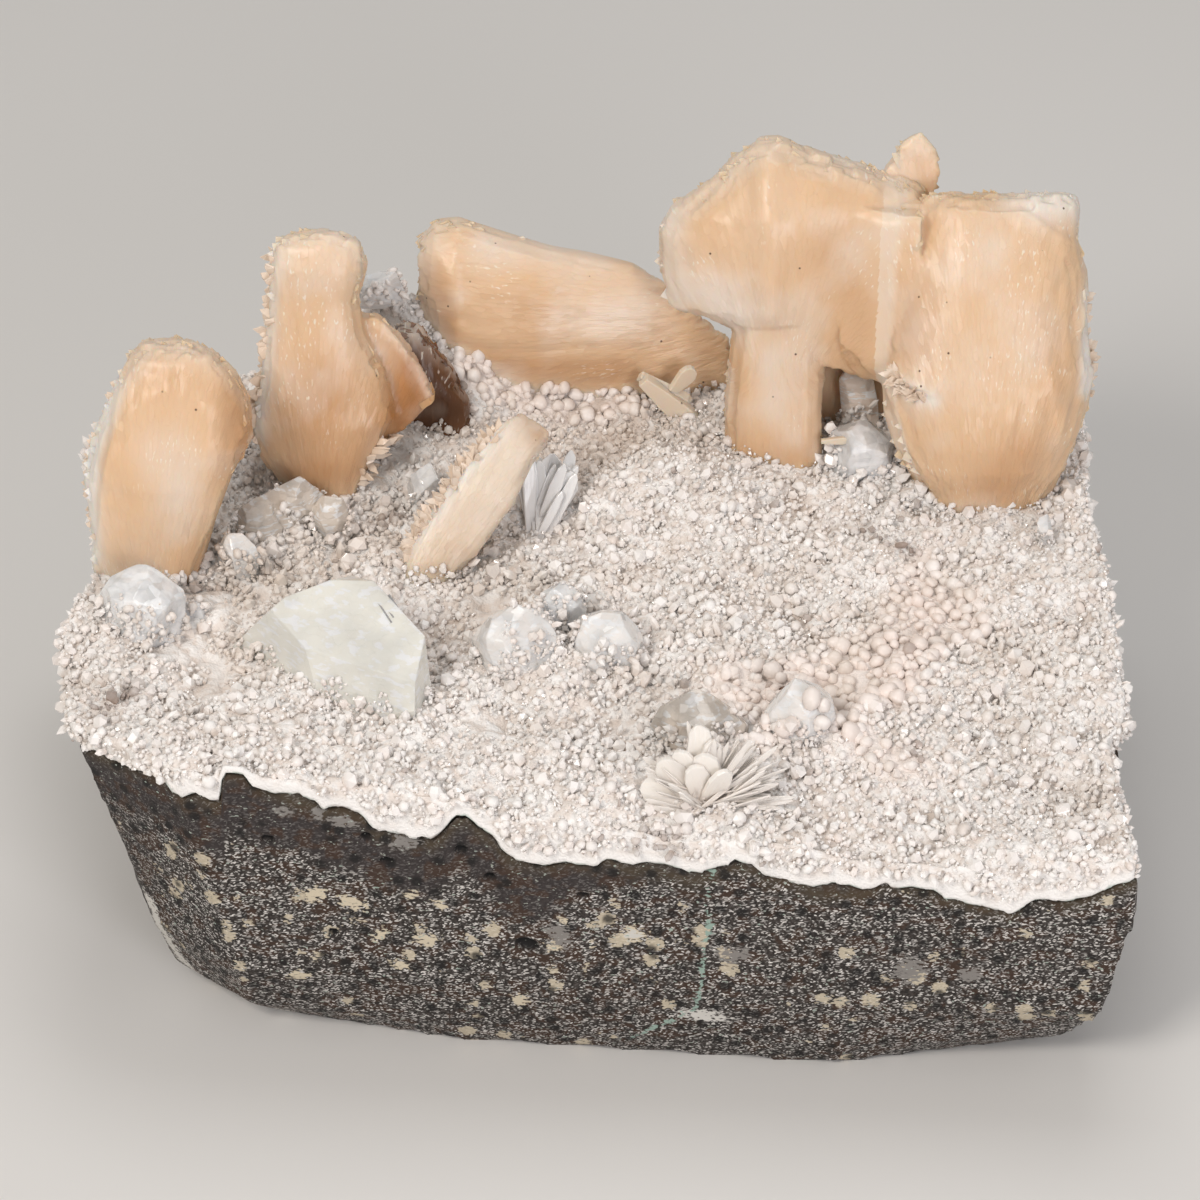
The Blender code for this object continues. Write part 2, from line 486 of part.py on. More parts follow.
def make_sheaves(parts, cutters, finishes, top_ground):
    """The peach stilbite sheaves and blades."""
    peach, pale = finishes["stilbite"], finishes["pale_stilbite"]
    left = sheaf_mesh("left", LEFT_ROOT, axes(*LEFT_TILT), LEFT_STATIONS, 18)
    joined("stilbite_left_sheaf", [left], parts, cutters, peach, top_ground)

    frame = axes(*TALL_TILT)
    tall = sheaf_mesh("tall", TALL_ROOT, frame, TALL_STATIONS, 16)
    blade = plate_mesh("tall blade", TALL_ROOT, frame, TALL_BLADE, *TALL_BLADE_DEPTH)
    joined("stilbite_tall_sheaf", [tall, blade], parts, cutters, peach, top_ground)

    shadow = sheaf_mesh("shadow", SHADOW_ROOT, axes(*SHADOW_TILT), SHADOW_STATIONS, 14)
    joined("stilbite_shadow_sheaf", [shadow], parts, cutters, peach, top_ground)

    side, growth, depth = axes(RECLINING_LEAN, 0)
    lying = sheaf_mesh("lying", RECLINING_ROOT, (growth, -side, depth), RECLINING_STATIONS, 18, 2.3)
    joined("stilbite_reclining_sheaf", [lying], parts, cutters, peach, top_ground)

    frame = axes(*CENTRE_TILT)
    stem = sheaf_mesh("stem", CENTRE_ROOT, frame, STEM_STATIONS, 12, 3.0)
    cap = sheaf_mesh("cap", CENTRE_ROOT, frame, CAP_STATIONS, 20, 2.0)
    blade = plate_mesh("blade", CENTRE_ROOT, frame, CENTRE_BLADE, *CENTRE_BLADE_DEPTH)
    right = sheaf_mesh("right", RIGHT_ROOT, axes(*RIGHT_TILT), RIGHT_STATIONS, 20, 2.4)
    joined("stilbite_twin_sheaves", [cap, stem, blade, right], parts, cutters, peach, top_ground)

    bow = sheaf_mesh("bow", BOW_ROOT, axes(*BOW_TILT), BOW_STATIONS, 12, 3.4)
    joined("stilbite_bow_tie", [bow], parts, cutters, pale, top_ground)

    outline = petal(SMALL_BLADE_LENGTH, SMALL_BLADE_HALF_WIDTH)
    small = plate_mesh("small", SMALL_BLADE, axes(*SMALL_BLADE_TILT), outline,
                       -SMALL_BLADE_HALF_THICK, SMALL_BLADE_HALF_THICK)
    joined("stilbite_small_blade", [small], parts, cutters, pale, top_ground)

    petals = []
    for lean, roll, turn, length, half_width, half_thick in ROSETTE_PETALS:
        petals.append(plate_mesh("petal", ROSETTE_ROOT, axes(lean, roll, turn),
                                 petal(length, half_width), -half_thick, half_thick))
    joined("stilbite_rosette", petals, parts, cutters, pale, top_ground)


def make_blocks(parts, cutters, finishes, top_ground):
    """The apophyllites and the other clear and white crystals."""
    green = cut_crystal_mesh("green", GREEN_CENTRE, GREEN_HALF,
                             [through(GREEN_CENTRE, *corners) for corners in GREEN_FACES])
    joined("apophyllite_large", [green], parts, cutters, finishes["apophyllite"], top_ground)
    for name, finish, centre, half, turn, share in BLOCKS:
        mesh = block_mesh(name, centre, half, turn, share)
        joined(name, [mesh], parts, cutters, finishes[finish], top_ground)
    group = [block_mesh("group", centre, half, turn, share)
             for centre, half, turn, share in CLEAR_GROUP]
    joined("apophyllite_clear_group", group, parts, cutters, finishes["clear"], top_ground)
    fan = [plate_mesh("fan", root, axes(lean, roll), petal(length, wide), -thick, thick)
           for root, lean, roll, length, wide, thick in FAN_BLADES]
    joined("clear_striated_fan", fan, parts, cutters, finishes["clear"], top_ground)
    column = sheaf_mesh("column", COLUMN_ROOT, axes(*COLUMN_TILT), COLUMN_STATIONS, 8, 3.0)
    joined("white_column_crystal", [column], parts, cutters, finishes["milky"], top_ground)
    ridge = sheaf_mesh("ridge", RIDGE_ROOT, axes(*RIDGE_TILT), RIDGE_STATIONS, 8, 2.4)
    joined("lilac_ridge_crystal", [ridge], parts, cutters, finishes["milky"], top_ground)


def centre_on_box(parts, holder):
    """Moves everything so that the middle of the whole cluster's box is over the origin."""
    bpy.context.view_layer.update()
    graph = bpy.context.evaluated_depsgraph_get()
    places = []
    for thing in parts.objects:
        done = thing.evaluated_get(graph)
        places += [done.matrix_world @ Vector(corner) for corner in done.bound_box]
    for axis in (0, 1):
        values = [place[axis] for place in places]
        holder.location[axis] = -(min(values) + max(values)) / 2


def main():
    """Builds the whole specimen."""
    for thing in list(bpy.data.objects):
        bpy.data.objects.remove(thing)
    parts = bpy.data.collections.new("apophyllite_cluster")
    cutters = bpy.data.collections.new("cutters")
    for collection in (parts, cutters):
        bpy.context.scene.collection.children.link(collection)
    finishes = {name: make_finish(name, *look) for name, look in COLOURS.items()}

    seat_rock = ground("seat_rock", seat, SEAT_CELL, 0.0, cutters)
    seat_crust = ground("seat_crust", seat, SEAT_CELL, FACE_GAP, cutters)
    crust_ground = ground("crust_ground", crust_top, TOP_CELL, 0.0, cutters)
    foot_ground = ground("foot_ground", crust_top, TOP_CELL, FOOT_GAP, cutters)
    make_rock(seat_rock, parts, finishes["basalt"])
    make_crust(crust_ground, seat_crust, parts, finishes["druse"])
    make_sheaves(parts, cutters, finishes, foot_ground)
    make_blocks(parts, cutters, finishes, foot_ground)

    holder = bpy.data.objects.new("cluster_origin", None)
    cutters.objects.link(holder)
    for collection in (parts, cutters):
        for thing in collection.objects:
            if thing is not holder:
                thing.parent = holder
    centre_on_box(parts, holder)


if __name__ == "__main__":
    main()
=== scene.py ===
"""The finish of an apophyllite and stilbite cluster on a white druse crust over sawn basalt.

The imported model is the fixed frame. Shapes are worked out in millimetres in the specimen's own
layout: X runs along the sawn front face, Y to the back, Z up from the flat underside, and zero
lies under the middle of the crust. set_piece puts each finished mesh into the frame in metres.
"""

import logging
import math
from dataclasses import dataclass, field
from enum import Enum
from itertools import product

import bmesh
import bpy
import numpy as np
from bmesh.types import BMesh
from bpy.types import Material, Mesh, Node, NodeSocket, NodeTree, Object
from mathutils import Matrix, Vector
from mathutils.bvhtree import BVHTree
from numpy import ndarray
from numpy.random import Generator


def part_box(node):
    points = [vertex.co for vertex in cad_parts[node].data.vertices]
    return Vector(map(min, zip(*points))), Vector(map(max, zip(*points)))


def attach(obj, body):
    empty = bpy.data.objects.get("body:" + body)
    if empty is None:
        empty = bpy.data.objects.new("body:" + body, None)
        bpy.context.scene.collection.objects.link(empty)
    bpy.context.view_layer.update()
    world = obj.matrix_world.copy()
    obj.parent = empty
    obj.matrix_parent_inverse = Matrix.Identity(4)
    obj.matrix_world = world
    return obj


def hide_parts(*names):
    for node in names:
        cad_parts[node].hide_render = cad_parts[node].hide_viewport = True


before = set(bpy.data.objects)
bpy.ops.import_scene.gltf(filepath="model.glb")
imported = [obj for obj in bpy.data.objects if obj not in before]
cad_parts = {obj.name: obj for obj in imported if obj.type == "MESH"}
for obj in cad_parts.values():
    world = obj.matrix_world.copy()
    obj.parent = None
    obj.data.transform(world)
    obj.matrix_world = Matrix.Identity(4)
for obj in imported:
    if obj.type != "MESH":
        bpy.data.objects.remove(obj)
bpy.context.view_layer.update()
log = logging.getLogger("apophyllite_cluster")

Pair = tuple[float, float]
Triple = tuple[float, float, float]

MM = 0.001
CRUST_LEFT = -78.6        # lowest x of the crust in the layout
CRUST_FRONT = -63.0       # lowest y of the crust in the layout
CRUST_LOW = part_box("druse_crust")[0]
ORIGIN = np.array((CRUST_LOW.x / MM - CRUST_LEFT, CRUST_LOW.y / MM - CRUST_FRONT, 0.0))

FRONT_X, FRONT_Y, FRONT_SLOPE = -58.0, -52.0, -0.0827    # the sawn face passes here, at this slant
# Contact between basalt and crust along the sawn face, as seen: x, z
CONTACT = (
    (-78, 46.8), (-68, 46.4), (-65.9, 47.0), (-61.3, 47.4), (-60.4, 45.4), (-58.7, 44.8),
    (-56.6, 45.6), (-54.9, 44.5), (-53.4, 44.6), (-52.9, 49.4), (-50.1, 49.9), (-48.7, 47.4),
    (-45.7, 46.4), (-42.6, 46.6), (-40.0, 45.5), (-39.0, 43.9), (-36.2, 44.7), (-33.7, 43.6),
    (-31.8, 40.8), (-28.7, 40.1), (-23.8, 39.4), (-22.2, 41.4), (-20.2, 44.2), (-18.6, 44.6),
    (-17.1, 42.5), (-14.9, 40.7), (-13.6, 37.8), (-11.1, 36.4), (-8.7, 35.9), (-5.6, 36.8),
    (-0.6, 36.2), (1.1, 37.4), (4.8, 36.9), (6.9, 37.8), (9.4, 37.2), (12.6, 36.2), (14.4, 35.9),
    (16.7, 37.0), (18.8, 38.9), (21.3, 38.0), (23.5, 35.8), (30.2, 34.6), (32.9, 35.5),
    (38.1, 34.5), (40.1, 35.7), (44.2, 35.6), (50.6, 33.3), (57.6, 31.4), (61.3, 34.4),
    (64.9, 34.3), (69.0, 35.6), (71.9, 37.9), (76, 39.6),
)


# Numbers


def smoothstep(low: float, high: float, value: ndarray) -> ndarray:
    """Rises smoothly from 0 at low to 1 at high."""
    share = np.clip((value - low) / (high - low), 0.0, 1.0)
    return share * share * (3.0 - 2.0 * share)


def lattice(cells: ndarray, seed: int) -> ndarray:
    """A fixed random number from -1 to 1 for each whole-number cell."""
    mixed = cells[..., 0] * 374761393 + cells[..., 1] * 668265263 + cells[..., 2] * 1440662683
    mixed = (mixed + seed * 974634777) & 0xFFFFFFFF
    mixed = ((mixed ^ (mixed >> 13)) * 1274126177) & 0xFFFFFFFF
    return (mixed ^ (mixed >> 16)) / 2.0**31 - 1.0


def noise(places: ndarray, size: float | tuple, seed: int = 0, octaves: int = 1) -> ndarray:
    """Smooth random relief.

    Args:
        places: points, one per row, in millimetres.
        size: distance between lumps, one number or one for each axis.
        seed: which relief.
        octaves: how many finer reliefs, each half the size and height, are added.

    Returns:
        A value from about -1 to 1 for each point.
    """
    total = np.zeros(len(places))
    for octave in range(octaves):
        scaled = places / np.asarray(size, float) * 2**octave + seed * 7.31
        cell = np.floor(scaled).astype(np.int64)
        part = scaled - cell
        part = part * part * (3.0 - 2.0 * part)
        value = 0.0
        for corner in np.ndindex(2, 2, 2):
            share = np.prod(np.where(corner, part, 1.0 - part), axis=1)
            value = value + share * lattice(cell + corner, seed + 31 * octave)
        total += value * 0.5**octave
    return total


def steps(along: ndarray, across: ndarray, width: float, seed: int) -> ndarray:
    """A random height from -1 to 1 for each stretch of this width, anew for each row across."""
    cells = np.column_stack((np.floor(along / width + seed * 0.37), across,
                             np.zeros(len(along)))).astype(np.int64)
    return lattice(cells, seed)


def cell_domes(places: ndarray, size: float, seed: int) -> ndarray:
    """Rounded knobs packed side by side: 1 at the top of a knob, about 0 in the creases.

    Args:
        places: points, one per row, in millimetres.
        size: distance from knob to knob.
        seed: which packing.

    Returns:
        The height of the packing at each point.
    """
    scaled = places / size
    cell = np.floor(scaled).astype(np.int64)
    nearest = np.full(len(places), 9.0)
    for corner in np.ndindex(3, 3, 3):
        other = cell + corner - 1
        middle = np.column_stack([lattice(other, seed + axis) for axis in range(3)])
        away = scaled - other - 0.5 - 0.38 * middle
        nearest = np.minimum(nearest, np.einsum("ij,ij->i", away, away))
    return np.sqrt(np.clip(1.0 - nearest / 0.9, 0.0, 1.0))


def segment_distance(points: ndarray, start: tuple, end: tuple) -> tuple[ndarray, ndarray]:
    """Distance from flat points to a segment, and how far along it, 0 to 1, each one's foot lies."""
    start, run = np.asarray(start, float), np.asarray(end, float) - np.asarray(start, float)
    along = np.clip((points - start) @ run / max(run @ run, 1e-9), 0.0, 1.0)
    return np.linalg.norm(points - start - along[:, None] * run, axis=1), along


def chain_distance(points: ndarray, chain: tuple) -> ndarray:
    """Distance from points to the nearest stretch of a chain."""
    return np.min([segment_distance(points, *ends)[0] for ends in zip(chain, chain[1:])], axis=0)


def unit(rows: ndarray) -> ndarray:
    """Each row scaled to a length of one."""
    return rows / np.linalg.norm(rows, axis=1)[:, None]


def turned_to(up: ndarray, beside: ndarray) -> ndarray:
    """Rotation matrices with the third axis along up, and the first at right angles to beside."""
    up = unit(up)
    side = unit(np.cross(up, beside))
    return np.stack((side, np.cross(up, side), up), axis=2)


def front_line(x: ndarray) -> ndarray:
    """Y of the sawn front face at x."""
    return FRONT_Y + FRONT_SLOPE * (x - FRONT_X)


@dataclass(frozen=True)
class Patch:
    """A soft-edged spot or band, in whatever flat coordinates its owner uses."""

    start: Pair
    end: Pair
    radius: float
    value: float

    def at(self, points: ndarray) -> ndarray:
        """The patch's share of its value at each flat point."""
        distance, _ = segment_distance(points, self.start, self.end)
        return self.value * np.exp(-((distance / self.radius) ** 2))


def sum_patches(points: ndarray, patches: tuple[Patch, ...]) -> ndarray:
    """All the patches together at each flat point."""
    total = np.zeros(len(points))
    for patch in patches:
        total += patch.at(points)
    return total


# Meshes


def gather(items: bpy.types.bpy_prop_collection, name: str) -> ndarray:
    """One vector of each of a mesh's items, such as its vertices' places, one per row."""
    values = np.empty(len(items) * 3, np.float32)
    items.foreach_get(name, values)
    return values.reshape(-1, 3).astype(float)


def read_places(mesh: Mesh) -> ndarray:
    """A mesh's vertices, one per row."""
    return gather(mesh.vertices, "co")


def write_places(mesh: Mesh, places: ndarray) -> None:
    """Puts a mesh's vertices at new places."""
    mesh.vertices.foreach_set("co", places.astype(np.float32).ravel())
    mesh.update()


def read_normals(mesh: Mesh) -> ndarray:
    """A mesh's vertex normals, one per row."""
    return gather(mesh.vertex_normals, "vector")


def set_attribute(mesh: Mesh, name: str, values: ndarray) -> None:
    """Stores a number or a vector on each vertex, for the material to read."""
    kind, key = ("FLOAT", "value") if values.ndim == 1 else ("FLOAT_VECTOR", "vector")
    made = mesh.attributes.new(name, kind, "POINT")
    made.data.foreach_set(key, values.astype(np.float32).ravel())


def to_mesh(name: str, bm: BMesh) -> Mesh:
    """Turns a bmesh into a mesh and frees it."""
    mesh = bpy.data.meshes.new(name)
    bm.to_mesh(mesh)
    bm.free()
    return mesh


def mesh_of(name: str, places: ndarray, faces: ndarray) -> Mesh:
    """A mesh from points and triangles."""
    mesh = bpy.data.meshes.new(name)
    mesh.vertices.add(len(places))
    mesh.vertices.foreach_set("co", places.astype(np.float32).ravel())
    mesh.loops.add(faces.size)
    mesh.loops.foreach_set("vertex_index", faces.astype(np.int32).ravel())
    mesh.polygons.add(len(faces))
    mesh.polygons.foreach_set("loop_start", np.arange(0, faces.size, 3, dtype=np.int32))
    mesh.update(calc_edges=True)
    return mesh


def merge(whole: BMesh, bm: BMesh) -> None:
    """Adds one bmesh to another and frees it."""
    part = to_mesh("part", bm)
    whole.from_mesh(part)
    bpy.data.meshes.remove(part)


def new_object(name: str, data: bpy.types.ID) -> Object:
    """Makes an object and links it to the scene."""
    made = bpy.data.objects.new(name, data)
    bpy.context.scene.collection.objects.link(made)
    return made


def layout_copy(node: str) -> BMesh:
    """A copy of a CAD node in layout millimetres, with its loose triangles merged."""
    bm = bmesh.new()
    bm.from_mesh(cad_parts[node].data)
    for vert in bm.verts:
        vert.co = vert.co / MM - Vector(ORIGIN)
    bmesh.ops.remove_doubles(bm, verts=bm.verts[:], dist=0.01)
    return bm


def remeshed(bm: BMesh, cell: float) -> Mesh:
    """An even skin of small quads over a closed shape.

    Args:
        bm: the closed shape, which is freed.
        cell: size of the quads.

    Returns:
        The new mesh.
    """
    source = to_mesh("remesh source", bm)
    holder = new_object("remesh holder", source)
    step = holder.modifiers.new("even skin", "REMESH")
    step.mode = "VOXEL"
    step.voxel_size = cell
    graph = bpy.context.evaluated_depsgraph_get()
    mesh = bpy.data.meshes.new_from_object(holder.evaluated_get(graph))
    bpy.data.objects.remove(holder)
    bpy.data.meshes.remove(source)
    return mesh


def relaxed(mesh: Mesh, places: ndarray, rounds: int) -> ndarray:
    """Rounds off facets without shrinking the shape much: each step in is followed by one out."""
    edges = np.empty(len(mesh.edges) * 2, np.int32)
    mesh.edges.foreach_get("vertices", edges)
    a, b = edges.reshape(-1, 2).T
    count = np.bincount(a, minlength=len(places)) + np.bincount(b, minlength=len(places))
    for share in (0.55, -0.52) * rounds:
        mean = np.empty_like(places)
        for axis in range(3):
            mean[:, axis] = (np.bincount(a, places[b, axis], len(places))
                             + np.bincount(b, places[a, axis], len(places))) / count
        places = places + share * (mean - places)
    return places


def tree_of(mesh: Mesh) -> BVHTree:
    """A search tree over a mesh, for casting rays at it."""
    faces = [tuple(face.vertices) for face in mesh.polygons]
    return BVHTree.FromPolygons([tuple(vert.co) for vert in mesh.vertices], faces)


def refined(mesh: Mesh, facing: Vector, least: float,
            cuts: int = 1) -> Mesh:
    """Splits the quads that face one way into smaller ones.

    Args:
        mesh: the skin, which is freed.
        facing: the way.
        least: how closely a face must face it, as a cosine.
        cuts: how often each edge is cut.

    Returns:
        The new mesh.
    """
    bm = bmesh.new()
    bm.from_mesh(mesh)
    bpy.data.meshes.remove(mesh)
    edges = {edge for face in bm.faces if face.normal.dot(facing) > least for edge in face.edges}
    bmesh.ops.subdivide_edges(bm, edges=list(edges), cuts=cuts, use_grid_fill=True)
    bmesh.ops.triangulate(bm, faces=[face for face in bm.faces if len(face.verts) > 4])
    return to_mesh("refined skin", bm)


def in_strips(mesh: Mesh, count: int) -> list[Mesh]:
    """Cuts a mesh into strips from left to right, so that no piece is too heavy."""
    middles = np.empty(len(mesh.polygons) * 3, np.float32)
    mesh.polygons.foreach_get("center", middles)
    across = middles.reshape(-1, 3)[:, 0]
    limits = np.quantile(across, np.linspace(0.0, 1.0, count + 1))
    limits[0], limits[-1] = -np.inf, np.inf
    strips = []
    for low, high in zip(limits, limits[1:]):
        bm = bmesh.new()
        bm.from_mesh(mesh)
        bm.faces.ensure_lookup_table()
        outside = [bm.faces[row] for row in np.flatnonzero((across < low) | (across >= high))]
        bmesh.ops.delete(bm, geom=outside, context="FACES")
        strips.append(to_mesh("strip", bm))
    bpy.data.meshes.remove(mesh)
    return strips


def surface_points(mesh: Mesh, count: int,
                   rng: Generator) -> tuple[ndarray, ndarray]:
    """Points spread evenly over a mesh by chance, with the faces' directions."""
    mesh.calc_loop_triangles()
    corners = np.empty(len(mesh.loop_triangles) * 3, np.int32)
    mesh.loop_triangles.foreach_get("vertices", corners)
    a, b, c = read_places(mesh)[corners.reshape(-1, 3)].transpose(1, 0, 2)
    cross = np.cross(b - a, c - a)
    area = np.linalg.norm(cross, axis=1)
    chosen = rng.choice(len(area), count, p=area / area.sum())
    u, v = rng.random((2, count, 1))
    over = (u + v) > 1.0
    u, v = np.where(over, 1.0 - u, u), np.where(over, 1.0 - v, v)
    places = a[chosen] + u * (b - a)[chosen] + v * (c - a)[chosen]
    return places, cross[chosen] / area[chosen, None]


def thinned(places: ndarray, spacing: float, rng: Generator) -> ndarray:
    """Rows of at most one point in each small cell of space."""
    order = rng.permutation(len(places))
    cells = np.floor(places[order] / spacing).astype(int)
    first = np.unique(cells, axis=0, return_index=True)[1]
    return order[first]


def buried(place: Vector, bodies: list["Body"], depth: float = 0.7) -> bool:
    """Whether a point lies deeper than this inside one of the bodies."""
    for body in bodies:
        near, normal, _, distance = body.tree.find_nearest(place, 12.0)
        if near is not None and distance > depth and normal.dot(place - near) < 0.0:
            return True
    return False


@dataclass(frozen=True)
class Body:
    """A big crystal as the druse meets it: a search tree, and points spread over its skin."""

    tree: BVHTree
    places: ndarray
    normals: ndarray
    climb: float               # how high the druse climbs on it

    @classmethod
    def of(cls, mesh: Mesh, count: int, climb: float) -> "Body":
        """Reads a layout mesh and spreads this many points over it."""
        places, normals = surface_points(mesh, count, np.random.default_rng(count))
        return cls(tree_of(mesh), places, normals, climb)

    def foot(self, ground: BVHTree) -> tuple[ndarray, ndarray]:
        """The points that stand low over the ground, where druse has grown on the crystal.

        Args:
            ground: the crust.

        Returns:
            The places and directions.
        """
        rows = []
        climb = self.climb * (1.0 + 1.3 * noise(self.places, 3.5, 51, 2))
        for row in np.flatnonzero((self.normals[:, 2] > -0.4) & (climb > 0.0)):
            start = Vector(self.places[row])
            start.z += 0.2
            hit = ground.ray_cast(start, Vector((0, 0, -1)), climb[row] + 0.2)[0]
            if hit is not None:
                rows.append(row)
        return self.places[rows], self.normals[rows]


@dataclass(frozen=True)
class Coat:
    """A material, and the name of a slot in the record, which nothing in this script reads."""

    material: Material
    slot: str


def set_piece(name: str, mesh: Mesh, coat: Coat, stands_for: tuple[str, ...] = (),
              smooth: bool = True) -> None:
    """Puts a finished layout mesh into the frame as one piece of the specimen.

    Its object stays at the origin, with its place in its mesh.

    Args:
        name: the piece's name.
        mesh: its mesh in layout millimetres.
        coat: its material.
        stands_for: the CAD nodes that it replaces.
        smooth: whether its faces are shaded smooth.
    """
    write_places(mesh, (read_places(mesh) + ORIGIN) * MM)
    mesh.polygons.foreach_set("use_smooth", np.full(len(mesh.polygons), smooth))
    mesh.materials.clear()
    mesh.materials.append(coat.material)
    mesh.name = name
    piece = new_object(name, mesh)
    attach(piece, "root")
    if stands_for:
        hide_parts(*stands_for)
    log.info("%s: %d faces", name, len(mesh.polygons))


@dataclass(frozen=True)
class Shape:
    """A small form that is repeated many times: its points and its triangles."""

    places: ndarray
    faces: ndarray

    @classmethod
    def from_bmesh(cls, bm: BMesh, outward: bool = True) -> "Shape":
        """Reads the form from a bmesh.

        Some bmesh operations leave the faces in an order that changes from run to run, so points
        and faces are sorted by place.

        Args:
            bm: the form, which is freed.
            outward: whether its faces have yet to be turned outward.

        Returns:
            The form.
        """
        bmesh.ops.triangulate(bm, faces=bm.faces[:])
        if outward:
            bmesh.ops.recalc_face_normals(bm, faces=bm.faces[:])
        bm.verts.index_update()
        places = np.array([vert.co for vert in bm.verts], float)
        faces = np.array([[vert.index for vert in face.verts] for face in bm.faces], int)
        bm.free()
        order = np.lexsort(np.round(places, 4).T)
        faces = np.argsort(order)[faces]
        turned = (np.argmin(faces, axis=1)[:, None] + np.arange(3)) % 3
        faces = np.take_along_axis(faces, turned, axis=1)
        return cls(places[order], faces[np.lexsort(faces.T)])

    def to_mesh(self, name: str) -> Mesh:
        """The form as a mesh of its own."""
        return mesh_of(name, self.places, self.faces)

    def joined(self, name: str, places: ndarray, turns: ndarray, sizes: ndarray,
               marks: dict[str, ndarray], wobble: float = 0.0) -> Mesh:
        """Many copies as one mesh.

        Args:
            name: the mesh's name.
            places: each copy's centre.
            turns: each copy's rotation matrix.
            sizes: each copy's scale along its own axes.
            marks: each copy's numbers or vectors for the material, by attribute name.
            wobble: how far points stray, in millimetres, so that no two copies are alike.

        Returns:
            The joined mesh, with the marks and "rise", 0 to 1 up each copy, on its vertices.
        """
        count, points = len(places), len(self.places)
        verts = np.einsum("nij,nvj->nvi", turns, self.places[None] * sizes[:, None, :])
        verts = verts + places[:, None, :]
        if wobble:
            flat = verts.reshape(-1, 3)
            stray = np.column_stack([noise(flat, 0.9, seed) for seed in (61, 62, 63)])
            verts = verts + wobble * stray.reshape(verts.shape)
        faces = self.faces[None] + (np.arange(count) * points)[:, None, None]
        mesh = mesh_of(name, verts.reshape(-1, 3), faces.reshape(-1, 3))
        for mark, values in marks.items():
            set_attribute(mesh, mark, np.repeat(values, points, axis=0))
        height = self.places[:, 2]
        rise = (height - height.min()) / np.ptp(height)
        set_attribute(mesh, "rise", np.tile(rise, count))
        return mesh


def ball_shape() -> Shape:
    """A little botryoidal ball."""
    bm = bmesh.new()
    bmesh.ops.create_icosphere(bm, subdivisions=2, radius=1.0)
    return Shape.from_bmesh(bm)


def nugget_shape() -> Shape:
    """The coarsest round form, which wobble turns into an angular crystal."""
    bm = bmesh.new()
    bmesh.ops.create_icosphere(bm, subdivisions=1, radius=1.0)
    return Shape.from_bmesh(bm)


def cut_off(bm: BMesh, facing: Vector, distance: float) -> None:
    """Cuts a flat facet on a closed convex form."""
    cut = bmesh.ops.bisect_plane(
        bm, geom=bm.verts[:] + bm.edges[:] + bm.faces[:], dist=0.0001,
        plane_co=facing * distance, plane_no=facing, clear_outer=True,
    )
    rim = [part for part in cut["geom_cut"] if isinstance(part, bmesh.types.BMEdge)]
    if rim:
        bmesh.ops.contextual_create(bm, geom=rim)


def chip_shape(corner: float) -> Shape:
    """A stubby crystal: a block with its eight corners taken off at this distance."""
    bm = bmesh.new()
    bmesh.ops.create_cube(bm, size=2.0)
    bmesh.ops.scale(bm, vec=(0.8, 0.74, 0.9), verts=bm.verts[:])
    for x, y, z in product((-1, 1), repeat=3):
        cut_off(bm, Vector((x, y, z * 0.9)).normalized(), corner)
    return Shape.from_bmesh(bm)


def point_shape() -> Shape:
    """A six-sided point on a short stem."""
    bm = bmesh.new()
    bmesh.ops.create_cone(bm, cap_ends=True, segments=6, radius1=0.62, radius2=0.7, depth=1.0)
    top = max(bm.faces, key=lambda face: face.calc_center_median().z)
    bmesh.ops.poke(bm, faces=[top], offset=0.75)
    return Shape.from_bmesh(bm)


def spark_shape() -> Shape:
    """The smallest sugar-like crystal, eight faces."""
    bm = bmesh.new()
    bmesh.ops.create_cone(bm, cap_ends=False, segments=4, radius1=0.0, radius2=0.8, depth=0.9)
    bmesh.ops.remove_doubles(bm, verts=bm.verts[:], dist=0.001)
    rim = [edge for edge in bm.edges if edge.is_boundary]
    lid = bmesh.ops.contextual_create(bm, geom=rim)["faces"]
    bmesh.ops.poke(bm, faces=lid, offset=0.8)
    return Shape.from_bmesh(bm)


def blade_shape(tip: float) -> Shape:
    """A thin flat crystal with a chisel tip: its foot at zero, its tip at one, this share wide."""
    bm = bmesh.new()
    bmesh.ops.create_cube(bm, size=1.0)
    bmesh.ops.translate(bm, vec=(0, 0, 0.5), verts=bm.verts[:])
    bmesh.ops.subdivide_edges(bm, edges=[e for e in bm.edges if e.verts[0].co.z != e.verts[1].co.z],
                              cuts=1)
    for vert in bm.verts:
        if vert.co.z > 0.9:
            vert.co.x *= tip
            vert.co.y *= 0.4
            vert.co.z += 0.14 * math.copysign(1.0, vert.co.x)
        elif vert.co.z > 0.4:
            vert.co.z += 0.2
    return Shape.from_bmesh(bm)


# Materials


def linear(colour: str) -> tuple[float, float, float, float]:
    """Turns an sRGB hex colour into the linear numbers that a material takes."""
    parts = [int(colour[at:at + 2], 16) / 255.0 for at in (1, 3, 5)]
    return (*[p / 12.92 if p <= 0.04045 else ((p + 0.055) / 1.055) ** 2.4 for p in parts], 1.0)


def add_node(tree: NodeTree, kind: str, settings: dict | None = None,
             sockets: dict | None = None) -> Node:
    """Adds a node to a material.

    Args:
        tree: the material's nodes.
        kind: the node's type.
        settings: its own properties.
        sockets: its inputs by name or number, each a value or another node's output.

    Returns:
        The node.
    """
    made = tree.nodes.new(kind)
    for name, value in (settings or {}).items():
        setattr(made, name, value)
    for name, value in (sockets or {}).items():
        if isinstance(value, NodeSocket):
            tree.links.new(value, made.inputs[name])
        else:
            made.inputs[name].default_value = value
    return made


